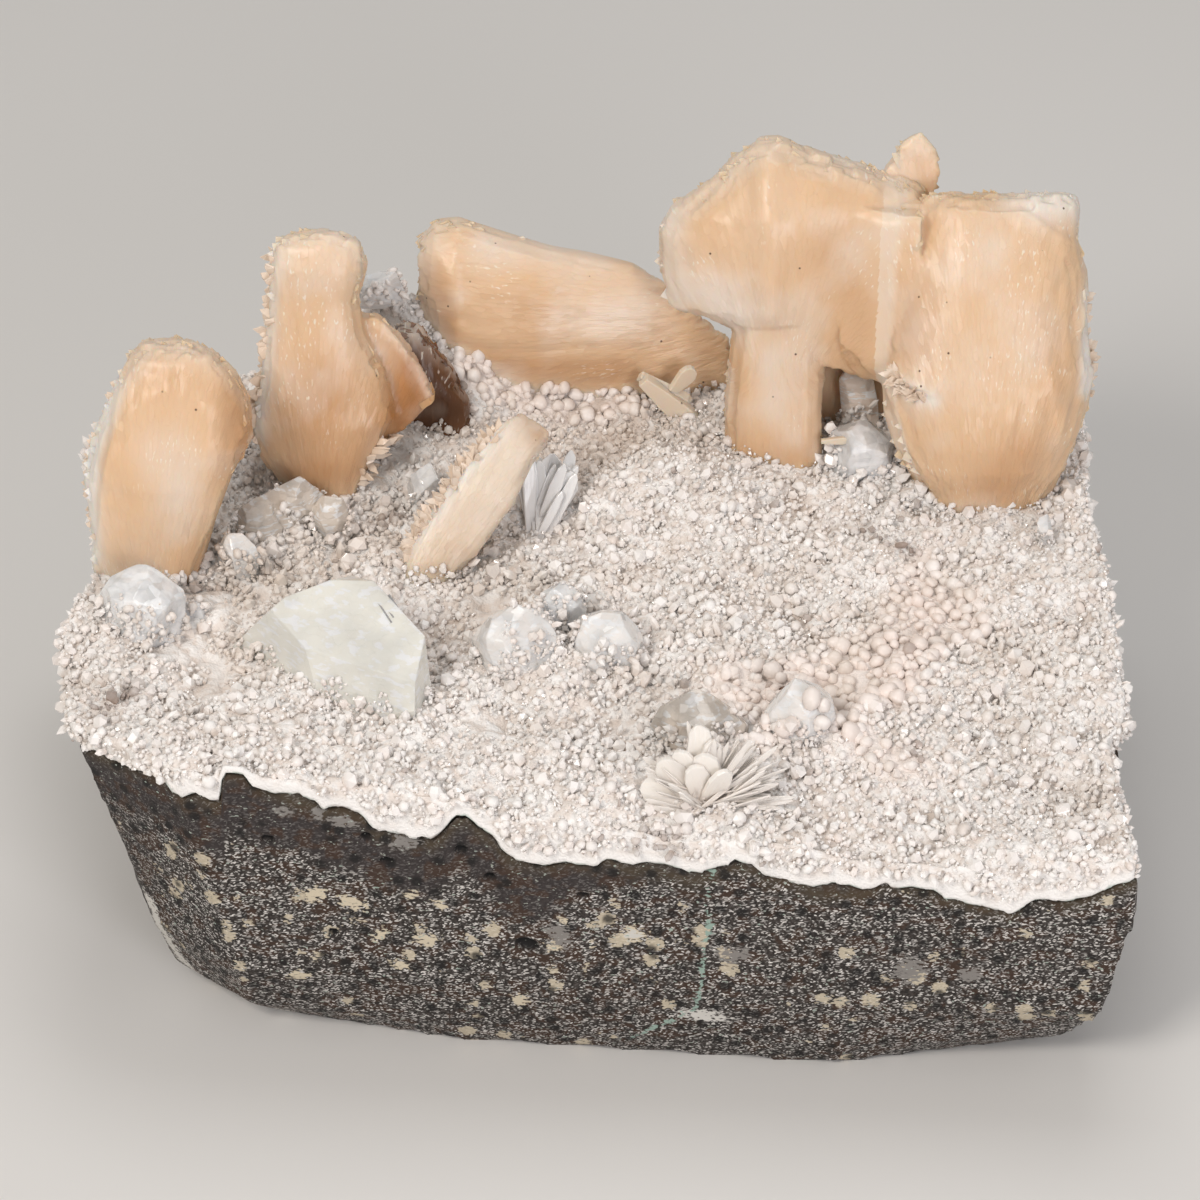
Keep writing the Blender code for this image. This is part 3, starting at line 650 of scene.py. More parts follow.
class Surface:
    """A new material with its Principled shader, and the patterns that a finish lays on it."""

    def __init__(self, name: str, shader: dict) -> None:
        """Makes it.

        Args:
            name: the material's name.
            shader: numbers for the shader itself, by socket.
        """
        self.material = bpy.data.materials.new(name)
        self.material.use_nodes = True
        self.tree = self.material.node_tree
        self.body = self.tree.nodes["Principled BSDF"]
        for socket, value in shader.items():
            self.body.inputs[socket].default_value = value

    def place(self) -> NodeSocket:
        """Where a point is on the specimen, in metres."""
        return add_node(self.tree, "ShaderNodeTexCoord").outputs["Object"]

    def stored(self, name: str, output: str = "Vector") -> NodeSocket:
        """What the mesh stores under this name."""
        return add_node(self.tree, "ShaderNodeAttribute", {"attribute_name": name}).outputs[output]

    def parts(self, vector: NodeSocket) -> bpy.types.NodeOutputs:
        """A vector's three numbers."""
        return add_node(self.tree, "ShaderNodeSeparateXYZ", None, {0: vector}).outputs

    def times(self, one: NodeSocket, other: object) -> NodeSocket:
        """The product of two patterns."""
        return add_node(self.tree, "ShaderNodeMath", {"operation": "MULTIPLY"},
                        {0: one, 1: other}).outputs[0]

    def mask(self, value: NodeSocket, low: float, high: float, most: float = 1.0) -> NodeSocket:
        """Turns a pattern into a covering: none at low, most at high."""
        made = add_node(self.tree, "ShaderNodeMapRange", {"clamp": True},
                        {"Value": value, "From Min": low, "From Max": high, "To Max": most})
        return made.outputs["Result"]

    def torn(self, cover: NodeSocket, grain: NodeSocket, tear: float, low: float, high: float,
             most: float = 1.0) -> NodeSocket:
        """Makes a covering's edge ragged: adds this much of a grain, then masks the sum."""
        made = add_node(self.tree, "ShaderNodeMath", {"operation": "MULTIPLY_ADD"},
                        {0: grain, 1: tear, 2: cover})
        return self.mask(made.outputs[0], low, high, most)

    def paint(self, ground: str, layers: tuple[tuple[str, NodeSocket], ...]) -> None:
        """Lays colours over one another, and gives the last to the shader.

        Args:
            ground: the first colour, as hex.
            layers: colours and how strongly each covers what lies under it.
        """
        below = linear(ground)
        for colour, share in layers:
            below = add_node(self.tree, "ShaderNodeMix", {"data_type": "RGBA"},
                             {0: share, 6: below, 7: linear(colour)}).outputs[2]
        self.tree.links.new(below, self.body.inputs["Base Color"])

    def scaled(self, vector: NodeSocket, size: tuple) -> NodeSocket:
        """Coordinates in which a pattern of this size has a size of one."""
        return add_node(self.tree, "ShaderNodeVectorMath", {"operation": "DIVIDE"},
                        {0: vector, 1: size}).outputs[0]

    def grain(self, vector: NodeSocket, size: tuple, detail: float = 2.0) -> NodeSocket:
        """A noise pattern.

        Args:
            vector: the coordinates.
            size: the lumps' length along each axis, in the coordinates' own unit.
            detail: how much finer noise is added.

        Returns:
            The pattern, about 0.5 on average.
        """
        return add_node(self.tree, "ShaderNodeTexNoise", None, {
            "Vector": self.scaled(vector, size), "Scale": 1.0, "Detail": detail}).outputs["Fac"]

    def cells(self, vector: NodeSocket, size: tuple) -> tuple[NodeSocket, NodeSocket]:
        """Packed cells.

        Args:
            vector: the coordinates.
            size: the cells' length along each axis, in the coordinates' own unit.

        Returns:
            The distance from each cell's middle, and a random number for each cell.
        """
        made = add_node(self.tree, "ShaderNodeTexVoronoi", {"feature": "F1"},
                        {"Vector": self.scaled(vector, size), "Scale": 1.0})
        return made.outputs["Distance"], self.parts(made.outputs["Color"])["X"]

    def facets(self, vector: NodeSocket, size: tuple) -> NodeSocket:
        """Packed cells, each a small flat face that leans its own way.

        Args:
            vector: the coordinates.
            size: the cells' length along each axis, in the coordinates' own unit.

        Returns:
            The height of the faces, about -0.4 to 0.4.
        """
        place = self.scaled(vector, size)
        made = add_node(self.tree, "ShaderNodeTexVoronoi", {"feature": "F1"},
                        {"Vector": place, "Scale": 1.0})
        away, lean = (add_node(self.tree, "ShaderNodeVectorMath", {"operation": "SUBTRACT"},
                               {0: one, 1: other}).outputs[0]
                      for one, other in ((place, made.outputs["Position"]),
                                         (made.outputs["Color"], (0.5,) * 3)))
        return add_node(self.tree, "ShaderNodeVectorMath", {"operation": "DOT_PRODUCT"},
                        {0: away, 1: lean}).outputs["Value"]

    def relief(self, *bumps: tuple[NodeSocket, float]) -> None:
        """Adds fine bumps, each a pattern and its height in millimetres."""
        sockets = {}
        for height, depth in bumps:
            sockets.update({"Height": height, "Distance": depth * MM, "Strength": 1.0})
            normal = add_node(self.tree, "ShaderNodeBump", None, sockets).outputs["Normal"]
            sockets["Normal"] = normal
        self.tree.links.new(normal, self.body.inputs["Normal"])


@dataclass(frozen=True)
class Finish:
    """A material: the numbers set on the shader itself. Each kind lays its own patterns."""

    name: str
    slot: str
    roughness: float
    ior: float = 1.5
    shader: dict = field(default_factory=dict)

    def build(self) -> Coat:
        """Makes the material."""
        on = Surface(self.name, {"Roughness": self.roughness, "IOR": self.ior, **self.shader})
        self.lay(on)
        return Coat(on.material, self.slot)


@dataclass(frozen=True)
class Stilbite(Finish):
    """Stilbite sheaves: hundreds of thin blades grown side by side, so the faces are satiny and
    finely furrowed, and light sinks in a little. The blade tips are paler, partly their own colour
    and partly painted light shining through the thin edges; small painted glints stand for blade
    ends catching the light, and the sheaf in shadow is darkened with painted shade."""

    pale: str = "#f6ebe0"
    peach: str = "#ebc7a1"
    amber: str = "#c38a56"
    # painted shade: the deep brown of tones from 1 to 2, for the sheaf that stands in shadow
    umber_shade: str = "#6a4325"
    # paler blade tips: partly their own colour, partly painted light shining through the thin edges
    tips: str = "#f8eee2"
    # painted highlight: the colour of the painted glints
    painted_highlight_colour: str = "#fff7ea"
    speck: str = "#644634"
    scale: Pair = (0.55, 1.9)   # overlapping blade ends, millimetres
    scale_height: float = 0.17
    furrow: Pair = (0.4, 7.0)   # width and length of a furrow
    furrow_height: float = 0.05
    flake: Pair = (0.34, 1.3)   # size of the painted glints, millimetres
    speck_gap: float = 3.6                     # distance between specks

    def lay(self, on: Surface) -> None:
        """Tone is -1 pale, 0 peach, 1 amber, 2 deep brown, used as painted shade for the sheaf in
        shadow. Shades are (broad, fine, inside a lobe).
        """
        fan = on.stored("fan")
        tone = on.stored("tone", "Fac")
        share = on.parts(fan)["Z"]
        shade = on.parts(on.stored("shades"))
        spot, chosen = on.cells(on.place(), (self.speck_gap * MM,) * 3)
        specks = on.times(on.mask(spot, 0.065, 0.03), on.mask(chosen, 0.55, 0.6))
        # painted highlight: small pale glints where blade ends would catch the light
        painted_highlights = on.mask(on.grain(fan, (*self.flake, 1e3), 1.0), 0.62, 0.70)
        on.paint(self.peach, (
            (self.amber, on.mask(tone, 0.0, 1.0)),
            # painted shade: tones above 1 turn deep brown
            (self.umber_shade, on.mask(tone, 1.0, 2.0)),
            (self.pale, on.mask(tone, 0.0, -1.0)),
            (self.pale, on.mask(shade["X"], 0.0, 0.9, 0.35)),
            # paler tips, partly painted light through the thin edges
            (self.tips, on.mask(share, 0.93, 1.0, 0.4)),
            # painted highlight: the glints
            (self.painted_highlight_colour, on.times(painted_highlights, on.mask(shade["Y"], 0.1, 0.5, 0.6))),
            (self.speck, specks),
        ))
        furrows = on.times(on.grain(fan, (*self.furrow, 1e3), 1.0), shade["Z"])
        faces = on.times(on.facets(fan, (*self.scale, 1e3)), shade["Z"])
        on.relief((furrows, self.furrow_height), (faces, self.scale_height))


@dataclass(frozen=True)
class Druse(Finish):
    """Druse grains: sugary white crystals and little botryoidal balls, translucent at the tips, beige
    in patches, and darker low down in the gaps, where painted shade stands for the shade there."""

    white: str = "#fefaf6"
    pink: str = "#faece3"
    beige: str = "#eaddd1"
    # gap is painted shade: the colour low on each grain, down between the grains
    gap: str = "#ddcbbd"
    stain: str = "#6f4f38"
    shade_top: float = 0.5       # how far up a grain the painted shade reaches

    def lay(self, on: Surface) -> None:
        """The tint is (beige, pink, stain), each 0 to 1; the beige is partly painted shade in the
        valleys.
        """
        tint = on.parts(on.stored("tint"))
        on.paint(self.white, (
            (self.pink, tint["Y"]),
            (self.beige, tint["X"]),
            # painted shade low on each grain
            (self.gap, on.mask(on.stored("rise", "Fac"), self.shade_top, 0.0, 0.6)),
            (self.stain, tint["Z"]),
        ))


@dataclass(frozen=True)
class CrustGround(Finish):
    """The crust below the grains: dense white chalcedony and quartz, darkened to beige in its
    hollows with painted shade, and a thin grey-green line where it was laid on the basalt."""

    white: str = "#fefaf6"
    beige: str = "#efe4db"
    # the colour of the painted shade in the hollows
    painted_hollow_shade: str = "#cbb6a5"
    pink: str = "#faece3"
    celadon: str = "#b3c2b8"
    rust: str = "#8d5850"
    fine: float = 0.36         # size of the smallest grains, millimetres
    fine_height: float = 0.16

    def lay(self, on: Surface) -> None:
        """The ground is (white band, contact line, painted shade in hollows), and the patches are
        (white, rust, rounded balls), each 0 to 1."""
        ground = on.parts(on.stored("ground"))
        patch = on.parts(on.stored("patches"))
        on.paint(self.beige, (
            (self.white, patch["X"]),
            (self.pink, on.times(patch["Z"], 0.7)),
            # painted shade in the hollows
            (self.painted_hollow_shade, ground["Z"]),
            (self.white, ground["X"]),
            (self.celadon, ground["Y"]),
            (self.rust, on.times(ground["Y"], patch["Y"])),
        ))
        on.relief((on.grain(on.place(), (self.fine * MM,) * 3, 0.0), self.fine_height))


@dataclass(frozen=True)
class Basalt(Finish):
    """Fine-grained basalt, sawn and never polished: dark ground packed with white feldspar laths,
    brown altered spots, pits where gas bubbles were cut, painted near-black as the shade inside
    them, small dark dots painted as the shade of tiny pits, and a few filled bubbles."""

    dark: str = "#221c18"
    grey: str = "#4a433f"
    slate: str = "#332c2c"
    brown: str = "#3f2a1c"
    olive: str = "#4a3e2c"
    lath: str = "#e4dfd9"
    cream: str = "#cfc2aa"
    bluish: str = "#85807b"
    white: str = "#cfcbc4"
    green: str = "#93a89c"
    # painted shade: the near-black inside the pits
    painted_hole_shade: str = "#0d0a09"
    lath_size: Pair = (1.25, 0.36)       # millimetres along and across
    lath_turns: tuple[float, ...] = (0.1, 0.75, -0.6)   # radians in the sawn face
    speckle: float = 0.5
    speckle_height: float = 0.10
    shred: Triple = (0.9, 0.5, 0.45)    # raggedness of the patches' edges
    tear: float = 3.2          # how ragged they are

    def laths(self, on: Surface, place: NodeSocket) -> NodeSocket:
        """Covers for the feldspar laths: stretched cells in a few directions."""
        length, width = self.lath_size
        cover = 0.0
        for number, turn in enumerate(self.lath_turns):
            turned = add_node(on.tree, "ShaderNodeMapping", None, {
                "Vector": place, "Rotation": (0.5 * number, turn, 0.0),
                "Location": (0.013 * number, 0.007 * number, 0.0)})
            distance, shade = on.cells(turned.outputs[0], (length * MM, width * MM, width * MM))
            one = on.times(on.mask(distance, 0.36, 0.24), on.mask(shade, 0.1, 1.0))
            cover = add_node(on.tree, "ShaderNodeMath", {"operation": "MAXIMUM"},
                             {0: cover, 1: one}).outputs[0]
        return cover

    def lay(self, on: Surface) -> None:
        """Reads four stored covers.

        "marks" is (cream, bluish, white), "veins" is (vein, pit, lath-poor), "blots" is (brown,
        small pit, clot) and "rind" is 1 at the contact with the crust, fading downwards. Pits and
        small pits are painted near-black, as painted shade.
        """
        place = on.place()
        mark = on.parts(on.stored("marks"))
        vein = on.parts(on.stored("veins"))
        blot = on.parts(on.stored("blots"))
        speckle = on.grain(place, (self.speckle * MM,) * 3)
        shred = on.grain(place, tuple(size * MM for size in self.shred))
        covers = [on.torn(cover, shred, -self.tear, 0.55 - self.tear / 2, 0.85 - self.tear / 2)
                  for cover in (mark["X"], mark["Y"], mark["Z"], vein["X"])]
        on.paint(self.dark, (
            (self.grey, on.mask(speckle, 0.40, 0.68, 0.85)),
            (self.slate, on.mask(vein["Z"], 0.2, 1.0, 0.7)),
            (self.brown, blot["X"]),
            (self.olive, on.mask(on.stored("rind", "Fac"), 0.3, 1.0, 0.8)),
            (self.lath, on.times(self.laths(on, place), on.mask(vein["Z"], 1.1875, 0.0, 0.95))),
            (self.cream, on.torn(blot["Z"], shred, 2.2, 1.72, 1.85, 0.8)),
            # painted shade: small pits and cut pits painted near-black
            (self.painted_hole_shade, blot["Y"]),
            (self.painted_hole_shade, vein["Y"]),
            (self.cream, covers[0]),
            (self.bluish, covers[1]),
            (self.white, covers[2]),
            (self.green, covers[3]),
        ))
        on.relief((speckle, self.speckle_height))


@dataclass(frozen=True)
class Crystal(Finish):
    """Apophyllite and quartz crystals: glassy natural faces with faint growth lines, clear or
    clouded by tiny bubbles. Light passes through, and a thick one takes a tint."""

    ior: float = 1.535
    colour: str = "#ffffff"
    cloud: str = "#e9e2da"
    veils: str = "#ffffff"
    clouding: float = 0.3      # how much of it the cloud covers at most
    window: float = 0.25       # how much light passes where it is clear
    veil: float = 0.0          # how much where it is cloudy
    cloud_size: float = 5.0    # millimetres
    tint: str = "#e8efe8"
    density: float = 8.0       # absorption in each metre
    line: Triple = (6.0, 5.0, 0.35)    # growth lines, thin upwards
    line_height: float = 0.05
    block: Triple = (2.4, 2.0, 1.5)    # blocks that differ in cloudiness
    wisp: Triple = (2.2, 2.2, 0.6)     # flat white veils
    face: Triple = (1.9, 1.7, 1.3)     # small broken faces
    face_height: float = 0.7

    def lay(self, on: Surface) -> None:
        """Clouds, veils, growth lines and broken faces, and a tint with depth."""
        place = on.place()
        line, block, wisp, face = (tuple(size * MM for size in sizes)
                                   for sizes in (self.line, self.block, self.wisp, self.face))
        clouds = on.grain(place, (self.cloud_size * MM,) * 3, 4.0)
        _, broken = on.cells(place, block)
        on.paint(self.colour, (
            (self.cloud, on.mask(clouds, 0.40, 0.62, self.clouding)),
            (self.cloud, on.mask(broken, 0.4, 1.0, self.clouding)),
            (self.veils, on.mask(on.grain(place, wisp, 3.0), 0.54, 0.60, 0.8)),
        ))
        passing = add_node(on.tree, "ShaderNodeMapRange", None, {
            "Value": clouds, "From Min": 0.38, "From Max": 0.6, "To Min": self.window,
            "To Max": self.veil})
        on.tree.links.new(passing.outputs["Result"], on.body.inputs["Transmission Weight"])
        on.relief((on.grain(place, line), self.line_height),
                  (on.facets(place, face), self.face_height))
        volume = add_node(on.tree, "ShaderNodeVolumeAbsorption", None,
                          {"Color": linear(self.tint), "Density": self.density})
        on.tree.links.new(volume.outputs[0], on.tree.nodes["Material Output"].inputs["Volume"])


@dataclass(frozen=True)
class Blades(Finish):
    """Thin colourless to cream blades: silky with lengthwise lines, translucent like wax."""

    colour: str = "#fcf3ea"
    base: str = "#f5e6d8"
    silk: str = "#fffaf4"
    line: Pair = (0.3, 6.0)     # lengthwise lines, millimetres
    line_height: float = 0.06

    def lay(self, on: Surface) -> None:
        """The fan vector is (across, along, share of the length)."""
        fan = on.stored("fan")
        lines = on.grain(fan, (*self.line, 1e3))
        on.paint(self.colour, (
            (self.base, on.mask(on.parts(fan)["Z"], 0.75, 0.0, 0.8)),
            (self.silk, on.mask(lines, 0.58, 0.68, 0.5)),
        ))
        on.relief((lines, self.line_height))


@dataclass(frozen=True)
class Plate(Finish):
    """Small dark plates sealed in a crystal: dull grey with a fine mottle."""

    colour: str = "#8c8a8a"
    other: str = "#a9a6a4"
    mottle: float = 0.4        # millimetres
    mottle_height: float = 0.03

    def lay(self, on: Surface) -> None:
        """One mottle for colour and surface."""
        mottle = on.grain(on.place(), (self.mottle * MM,) * 3)
        on.paint(self.colour, ((self.other, on.mask(mottle, 0.4, 0.6)),))
        on.relief((mottle, self.mottle_height))


SOFT_GLOW = {"Subsurface Weight": 0.45, "Subsurface Radius": (1.0, 0.62, 0.38),
             "Subsurface Scale": 2.2 * MM, "Coat Weight": 0.08, "Coat Roughness": 0.25}
WAXY = {"Subsurface Weight": 0.4, "Subsurface Radius": (0.75, 0.8, 0.85),
        "Subsurface Scale": 1.5 * MM}


# Crust and rock


@dataclass
class Ground:
    """What basalt and crust share: the contact between them on the sawn face."""

    reach_in: float = 5.0      # how deep the fine contact line is followed behind the face
    reach_up: float = 5.5
    reach_down: float = 14.0
    teeth: float = 0.5         # raggedness of the line
    cad_x: ndarray = field(default_factory=lambda: np.linspace(-77.0, 76.0, 307))
    cad_z: ndarray = field(default_factory=lambda: np.zeros(307))

    def survey(self, rock: BVHTree) -> None:
        """Reads the height of the CAD rock's top edge along the sawn face."""
        for number, x in enumerate(self.cad_x):
            y = front_line(x) + 0.5
            hit = rock.ray_cast(Vector((x, y, 120.0)), Vector((0, 0, -1)))[0]
            self.cad_z[number] = hit.z if hit else np.nan
        known = ~np.isnan(self.cad_z)
        self.cad_z = np.interp(self.cad_x, self.cad_x[known], self.cad_z[known])

    def line(self, x: ndarray) -> ndarray:
        """Height of the finished contact line at x."""
        xs, zs = zip(*CONTACT)
        flat = np.column_stack((x, np.zeros_like(x), np.zeros_like(x)))
        return np.interp(x, xs, zs) + self.teeth * noise(flat, 1.7, 5, 2)

    def follow(self, places: ndarray) -> ndarray:
        """Moves points near the face up or down so that the CAD line becomes the finished one."""
        x, y, z = places.T
        cad = np.interp(x, self.cad_x, self.cad_z)
        inward = np.exp(-((np.maximum(y - front_line(x), 0.0) / self.reach_in) ** 2))
        above = np.clip(1.0 - (z - cad) / self.reach_up, 0.0, 1.0)
        below = np.clip(1.0 - (cad - z) / self.reach_down, 0.0, 1.0)
        moved = places.copy()
        moved[:, 2] += (self.line(x) - cad) * inward * np.minimum(above, below)
        return moved


@dataclass(frozen=True)
class Mark:
    """A filled bubble or patch on the sawn face: centre (x, z), half sizes, turn in degrees."""

    centre: Pair
    half: Pair
    turn: float = 0.0

    def at(self, points: ndarray) -> ndarray:
        """1 at the middle, 0.5 at the edge, 0 well outside."""
        turn = math.radians(self.turn)
        away = points - np.asarray(self.centre)
        u = (away[:, 0] * math.cos(turn) + away[:, 1] * math.sin(turn)) / self.half[0]
        v = (away[:, 1] * math.cos(turn) - away[:, 0] * math.sin(turn)) / self.half[1]
        return np.clip(1.5 - 0.75 * np.hypot(u, v), 0.0, 1.5)


@dataclass
class Rock:
    """The basalt block, sawn in front and broken on its other sides."""

    cell: float = 1.1
    front_cuts: int = 2
    broken_size: float = 6.0
    broken_height: float = 0.55
    foot: float = 1.2          # below this height the sides stay as packed, so that it rests
    cream: tuple[Mark, ...] = (
        Mark((4.7, 24.6), (1.7, 1.2), 10), Mark((-40.6, 28.9), (1.4, 1.0), 30),
        Mark((-35.3, 27.8), (1.7, 0.9), -20), Mark((-27.0, 29.8), (1.0, 0.6), 20),
        Mark((-22.8, 28.3), (1.0, 0.6), -30), Mark((-25.0, 21.6), (1.5, 0.9), 15),
        Mark((-31.5, 22.1), (1.1, 0.6), 40), Mark((-28.8, 16.7), (1.3, 0.6), -15),
        Mark((-43.3, 13.6), (1.4, 0.8), 10), Mark((-11.6, 10.8), (1.0, 1.1), 60),
        Mark((-5.2, 26.6), (0.8, 0.5), -45), Mark((-6.3, 21.4), (1.1, 0.5), 20),
    )
    bluish: tuple[Mark, ...] = (
        Mark((-5.7, 23.9), (1.2, 2.2), 25), Mark((44.1, 20.7), (1.9, 2.0), 0),
        Mark((19.2, 21.9), (2.0, 1.1), 10), Mark((52.6, 20.3), (1.4, 1.1), 0),
        Mark((-27.5, 39.3), (2.0, 0.9), 10), Mark((-44.3, 44.0), (1.2, 0.8), 0),
        Mark((-36.4, 42.4), (1.7, 0.8), -10), Mark((-39.6, 43.8), (0.9, 0.8), 0),
    )
    white: tuple[Mark, ...] = (Mark((14.9, 9.6), (3.0, 1.0), -6), Mark((4.7, 24.6), (1.0, 0.7), 10))
    pits: tuple[Mark, ...] = (Mark((-10.4, 21.7), (1.6, 1.1), -15), Mark((-33.0, 40.0), (0.8, 0.6)),
                              Mark((-19.6, 38.5), (0.9, 0.7)), Mark((-47.0, 38.6), (0.9, 0.6)),
                              Mark((-30.2, 35.8), (1.0, 0.5)), Mark((-38.2, 22.0), (0.7, 0.7)),
                              Mark((-15.6, 33.8), (0.8, 0.6)), Mark((-2.4, 31.4), (0.8, 0.5)))
    vein: tuple[Pair, ...] = (
        (15.8, 37.0), (15.0, 30.9), (15.5, 27.2), (14.7, 20.7), (14.6, 16.0), (13.5, 10.8),
        (7.2, 5.9), (3.0, 2.0),
    )
    seam: tuple[Triple, ...] = (
        (-66.0, -42.0, 19.0), (-64.0, -42.3, 12.0), (-62.1, -41.6, 7.4), (-59.0, -43.2, 2.6),
        (-54.5, -46.3, 2.2), (-50.0, -48.5, 1.6), (-45.7, -46.5, 0.6),
    )

    def build(self, ground: Ground) -> Mesh:
        """Makes the block's finished surface, with its markings stored for the material."""
        bm = layout_copy("basalt_matrix")
        ground.survey(BVHTree.FromBMesh(bm))
        mesh = remeshed(bm, self.cell)
        mesh = refined(mesh, Vector((0, -1, 0)), 0.6, self.front_cuts)
        places, normals = read_places(mesh), read_normals(mesh)
        broken = smoothstep(-0.72, -0.35, normals[:, 1]) * smoothstep(self.foot, 5.0, places[:, 2])
        rough = self.broken_height * noise(places, self.broken_size, 1, 3)
        sawn = 0.05 * noise(places, 0.8, 2, 2)
        places = places + normals * (rough * broken + sawn * (places[:, 2] > self.foot))[:, None]
        places = ground.follow(places)
        face = places[:, [0, 2]]
        on_face = smoothstep(2.5, 1.0, places[:, 1] - front_line(places[:, 0]))
        pit = np.max([mark.at(face) for mark in self.pits], axis=0) * on_face
        places[:, 1] += 1.1 * smoothstep(0.5, 1.1, pit)
        write_places(mesh, places)
        self.store_marks(mesh, places, face, pit, on_face, ground)
        return mesh

    def store_marks(self, mesh: Mesh, places: ndarray, face: ndarray,
                    pit: ndarray, on_face: ndarray, ground: Ground) -> None:
        """Stores where each marking lies.

        Args:
            mesh: the block.
            places: its points.
            face: their x and z.
            pit: cover of the cut gas bubbles.
            on_face: 1 on the sawn face.
            ground: gives the contact line.
        """
        covers = [np.max([mark.at(face) for mark in marks], axis=0) * on_face
                  for marks in (self.cream, self.bluish, self.white)]
        vein = chain_distance(face, self.vein) + 0.5 * noise(places, 2.0, 8, 2)
        line = np.clip(1.1 - np.abs(vein) / 0.5, 0.0, 1.0) * on_face
        seam = chain_distance(places, self.seam)
        covers[2] = np.maximum(covers[2], np.clip(1.4 - seam / 1.6, 0.0, 1.2))
        below = ground.line(places[:, 0]) - places[:, 2] + 1.5 * noise(places, 7.0, 4, 2)
        left = smoothstep(12.0, -14.0, places[:, 0])
        poor = smoothstep(1.2 + 10.5 * left, 0.2 + 7.0 * left, below)
        poor = np.maximum(poor, 0.5 * smoothstep(-61.0, -66.0, places[:, 0]))
        set_attribute(mesh, "marks", np.column_stack(covers))
        # the pit cover is painted near-black by the material, as painted shade
        set_attribute(mesh, "veins", np.column_stack((line, smoothstep(0.5, 0.9, pit), poor)))
        set_attribute(mesh, "rind", np.exp(-np.abs(below) / 2.2))
        brown = 0.75 * smoothstep(0.1, 0.35, noise(places, (2.0, 2.0, 1.3), 61, 2))
        # small dark dots painted as the shade of tiny pits, which have no depth
        painted_hole_dots = 0.85 * smoothstep(0.93, 0.98, cell_domes(places, 3.1, 62))
        clots = smoothstep(0.86, 1.0, cell_domes(places, 4.2, 63)) * (1.0 - poor)
        clots *= smoothstep(-0.1, 0.3, noise(places, 6.0, 64))
        set_attribute(mesh, "blots", np.column_stack((brown, painted_hole_dots, clots)))


@dataclass(frozen=True)
class Growth:
    """One kind of grain, planted as joined pieces."""

    name: str
    shape: Shape
    kinds: Pair     # which share of the sites it takes
    radius: float
    spread: float                  # how much the radius varies
    stray: float                   # how far grains lean off the surface's direction
    wobble: float                  # how far their points stray, as a share of the radius
    finish: str = "druse"
    smooth: bool = False
    zone: bool = False             # sits in the patches of balls
    buried: float = 0.35           # share of the radius that is under the ground
    stretch: float = 1.0

    def plant(self, places: ndarray, normals: ndarray, tints: ndarray,
              finishes: dict[str, Coat], rng: Generator) -> None:
        """Makes the piece.

        Args:
            places: where its grains sit.
            normals: the surface directions there.
            tints: their tints.
            finishes: the materials by name.
            rng: the source of chance.
        """
        radius = self.radius * np.exp(rng.normal(0.0, self.spread, len(places)))
        radius = np.clip(radius, 0.55 * self.radius, 2.1 * self.radius)
        radius *= 1.0 + 0.2 * noise(places, 9.0, 23, 2)
        sizes = radius[:, None] * rng.uniform(0.75, 1.25, (len(places), 3))
        sizes[:, 2] *= self.stretch
        turns = turned_to(normals + rng.normal(0.0, self.stray, normals.shape),
                          rng.normal(0.0, 1.0, normals.shape))
        centres = places + normals * ((1.0 - self.buried) * radius)[:, None] * self.stretch
        mesh = self.shape.joined(self.name, centres, turns, sizes, {"tint": tints},
                                 self.wobble * self.radius)
        set_piece(self.name, mesh, finishes[self.finish], smooth=self.smooth)


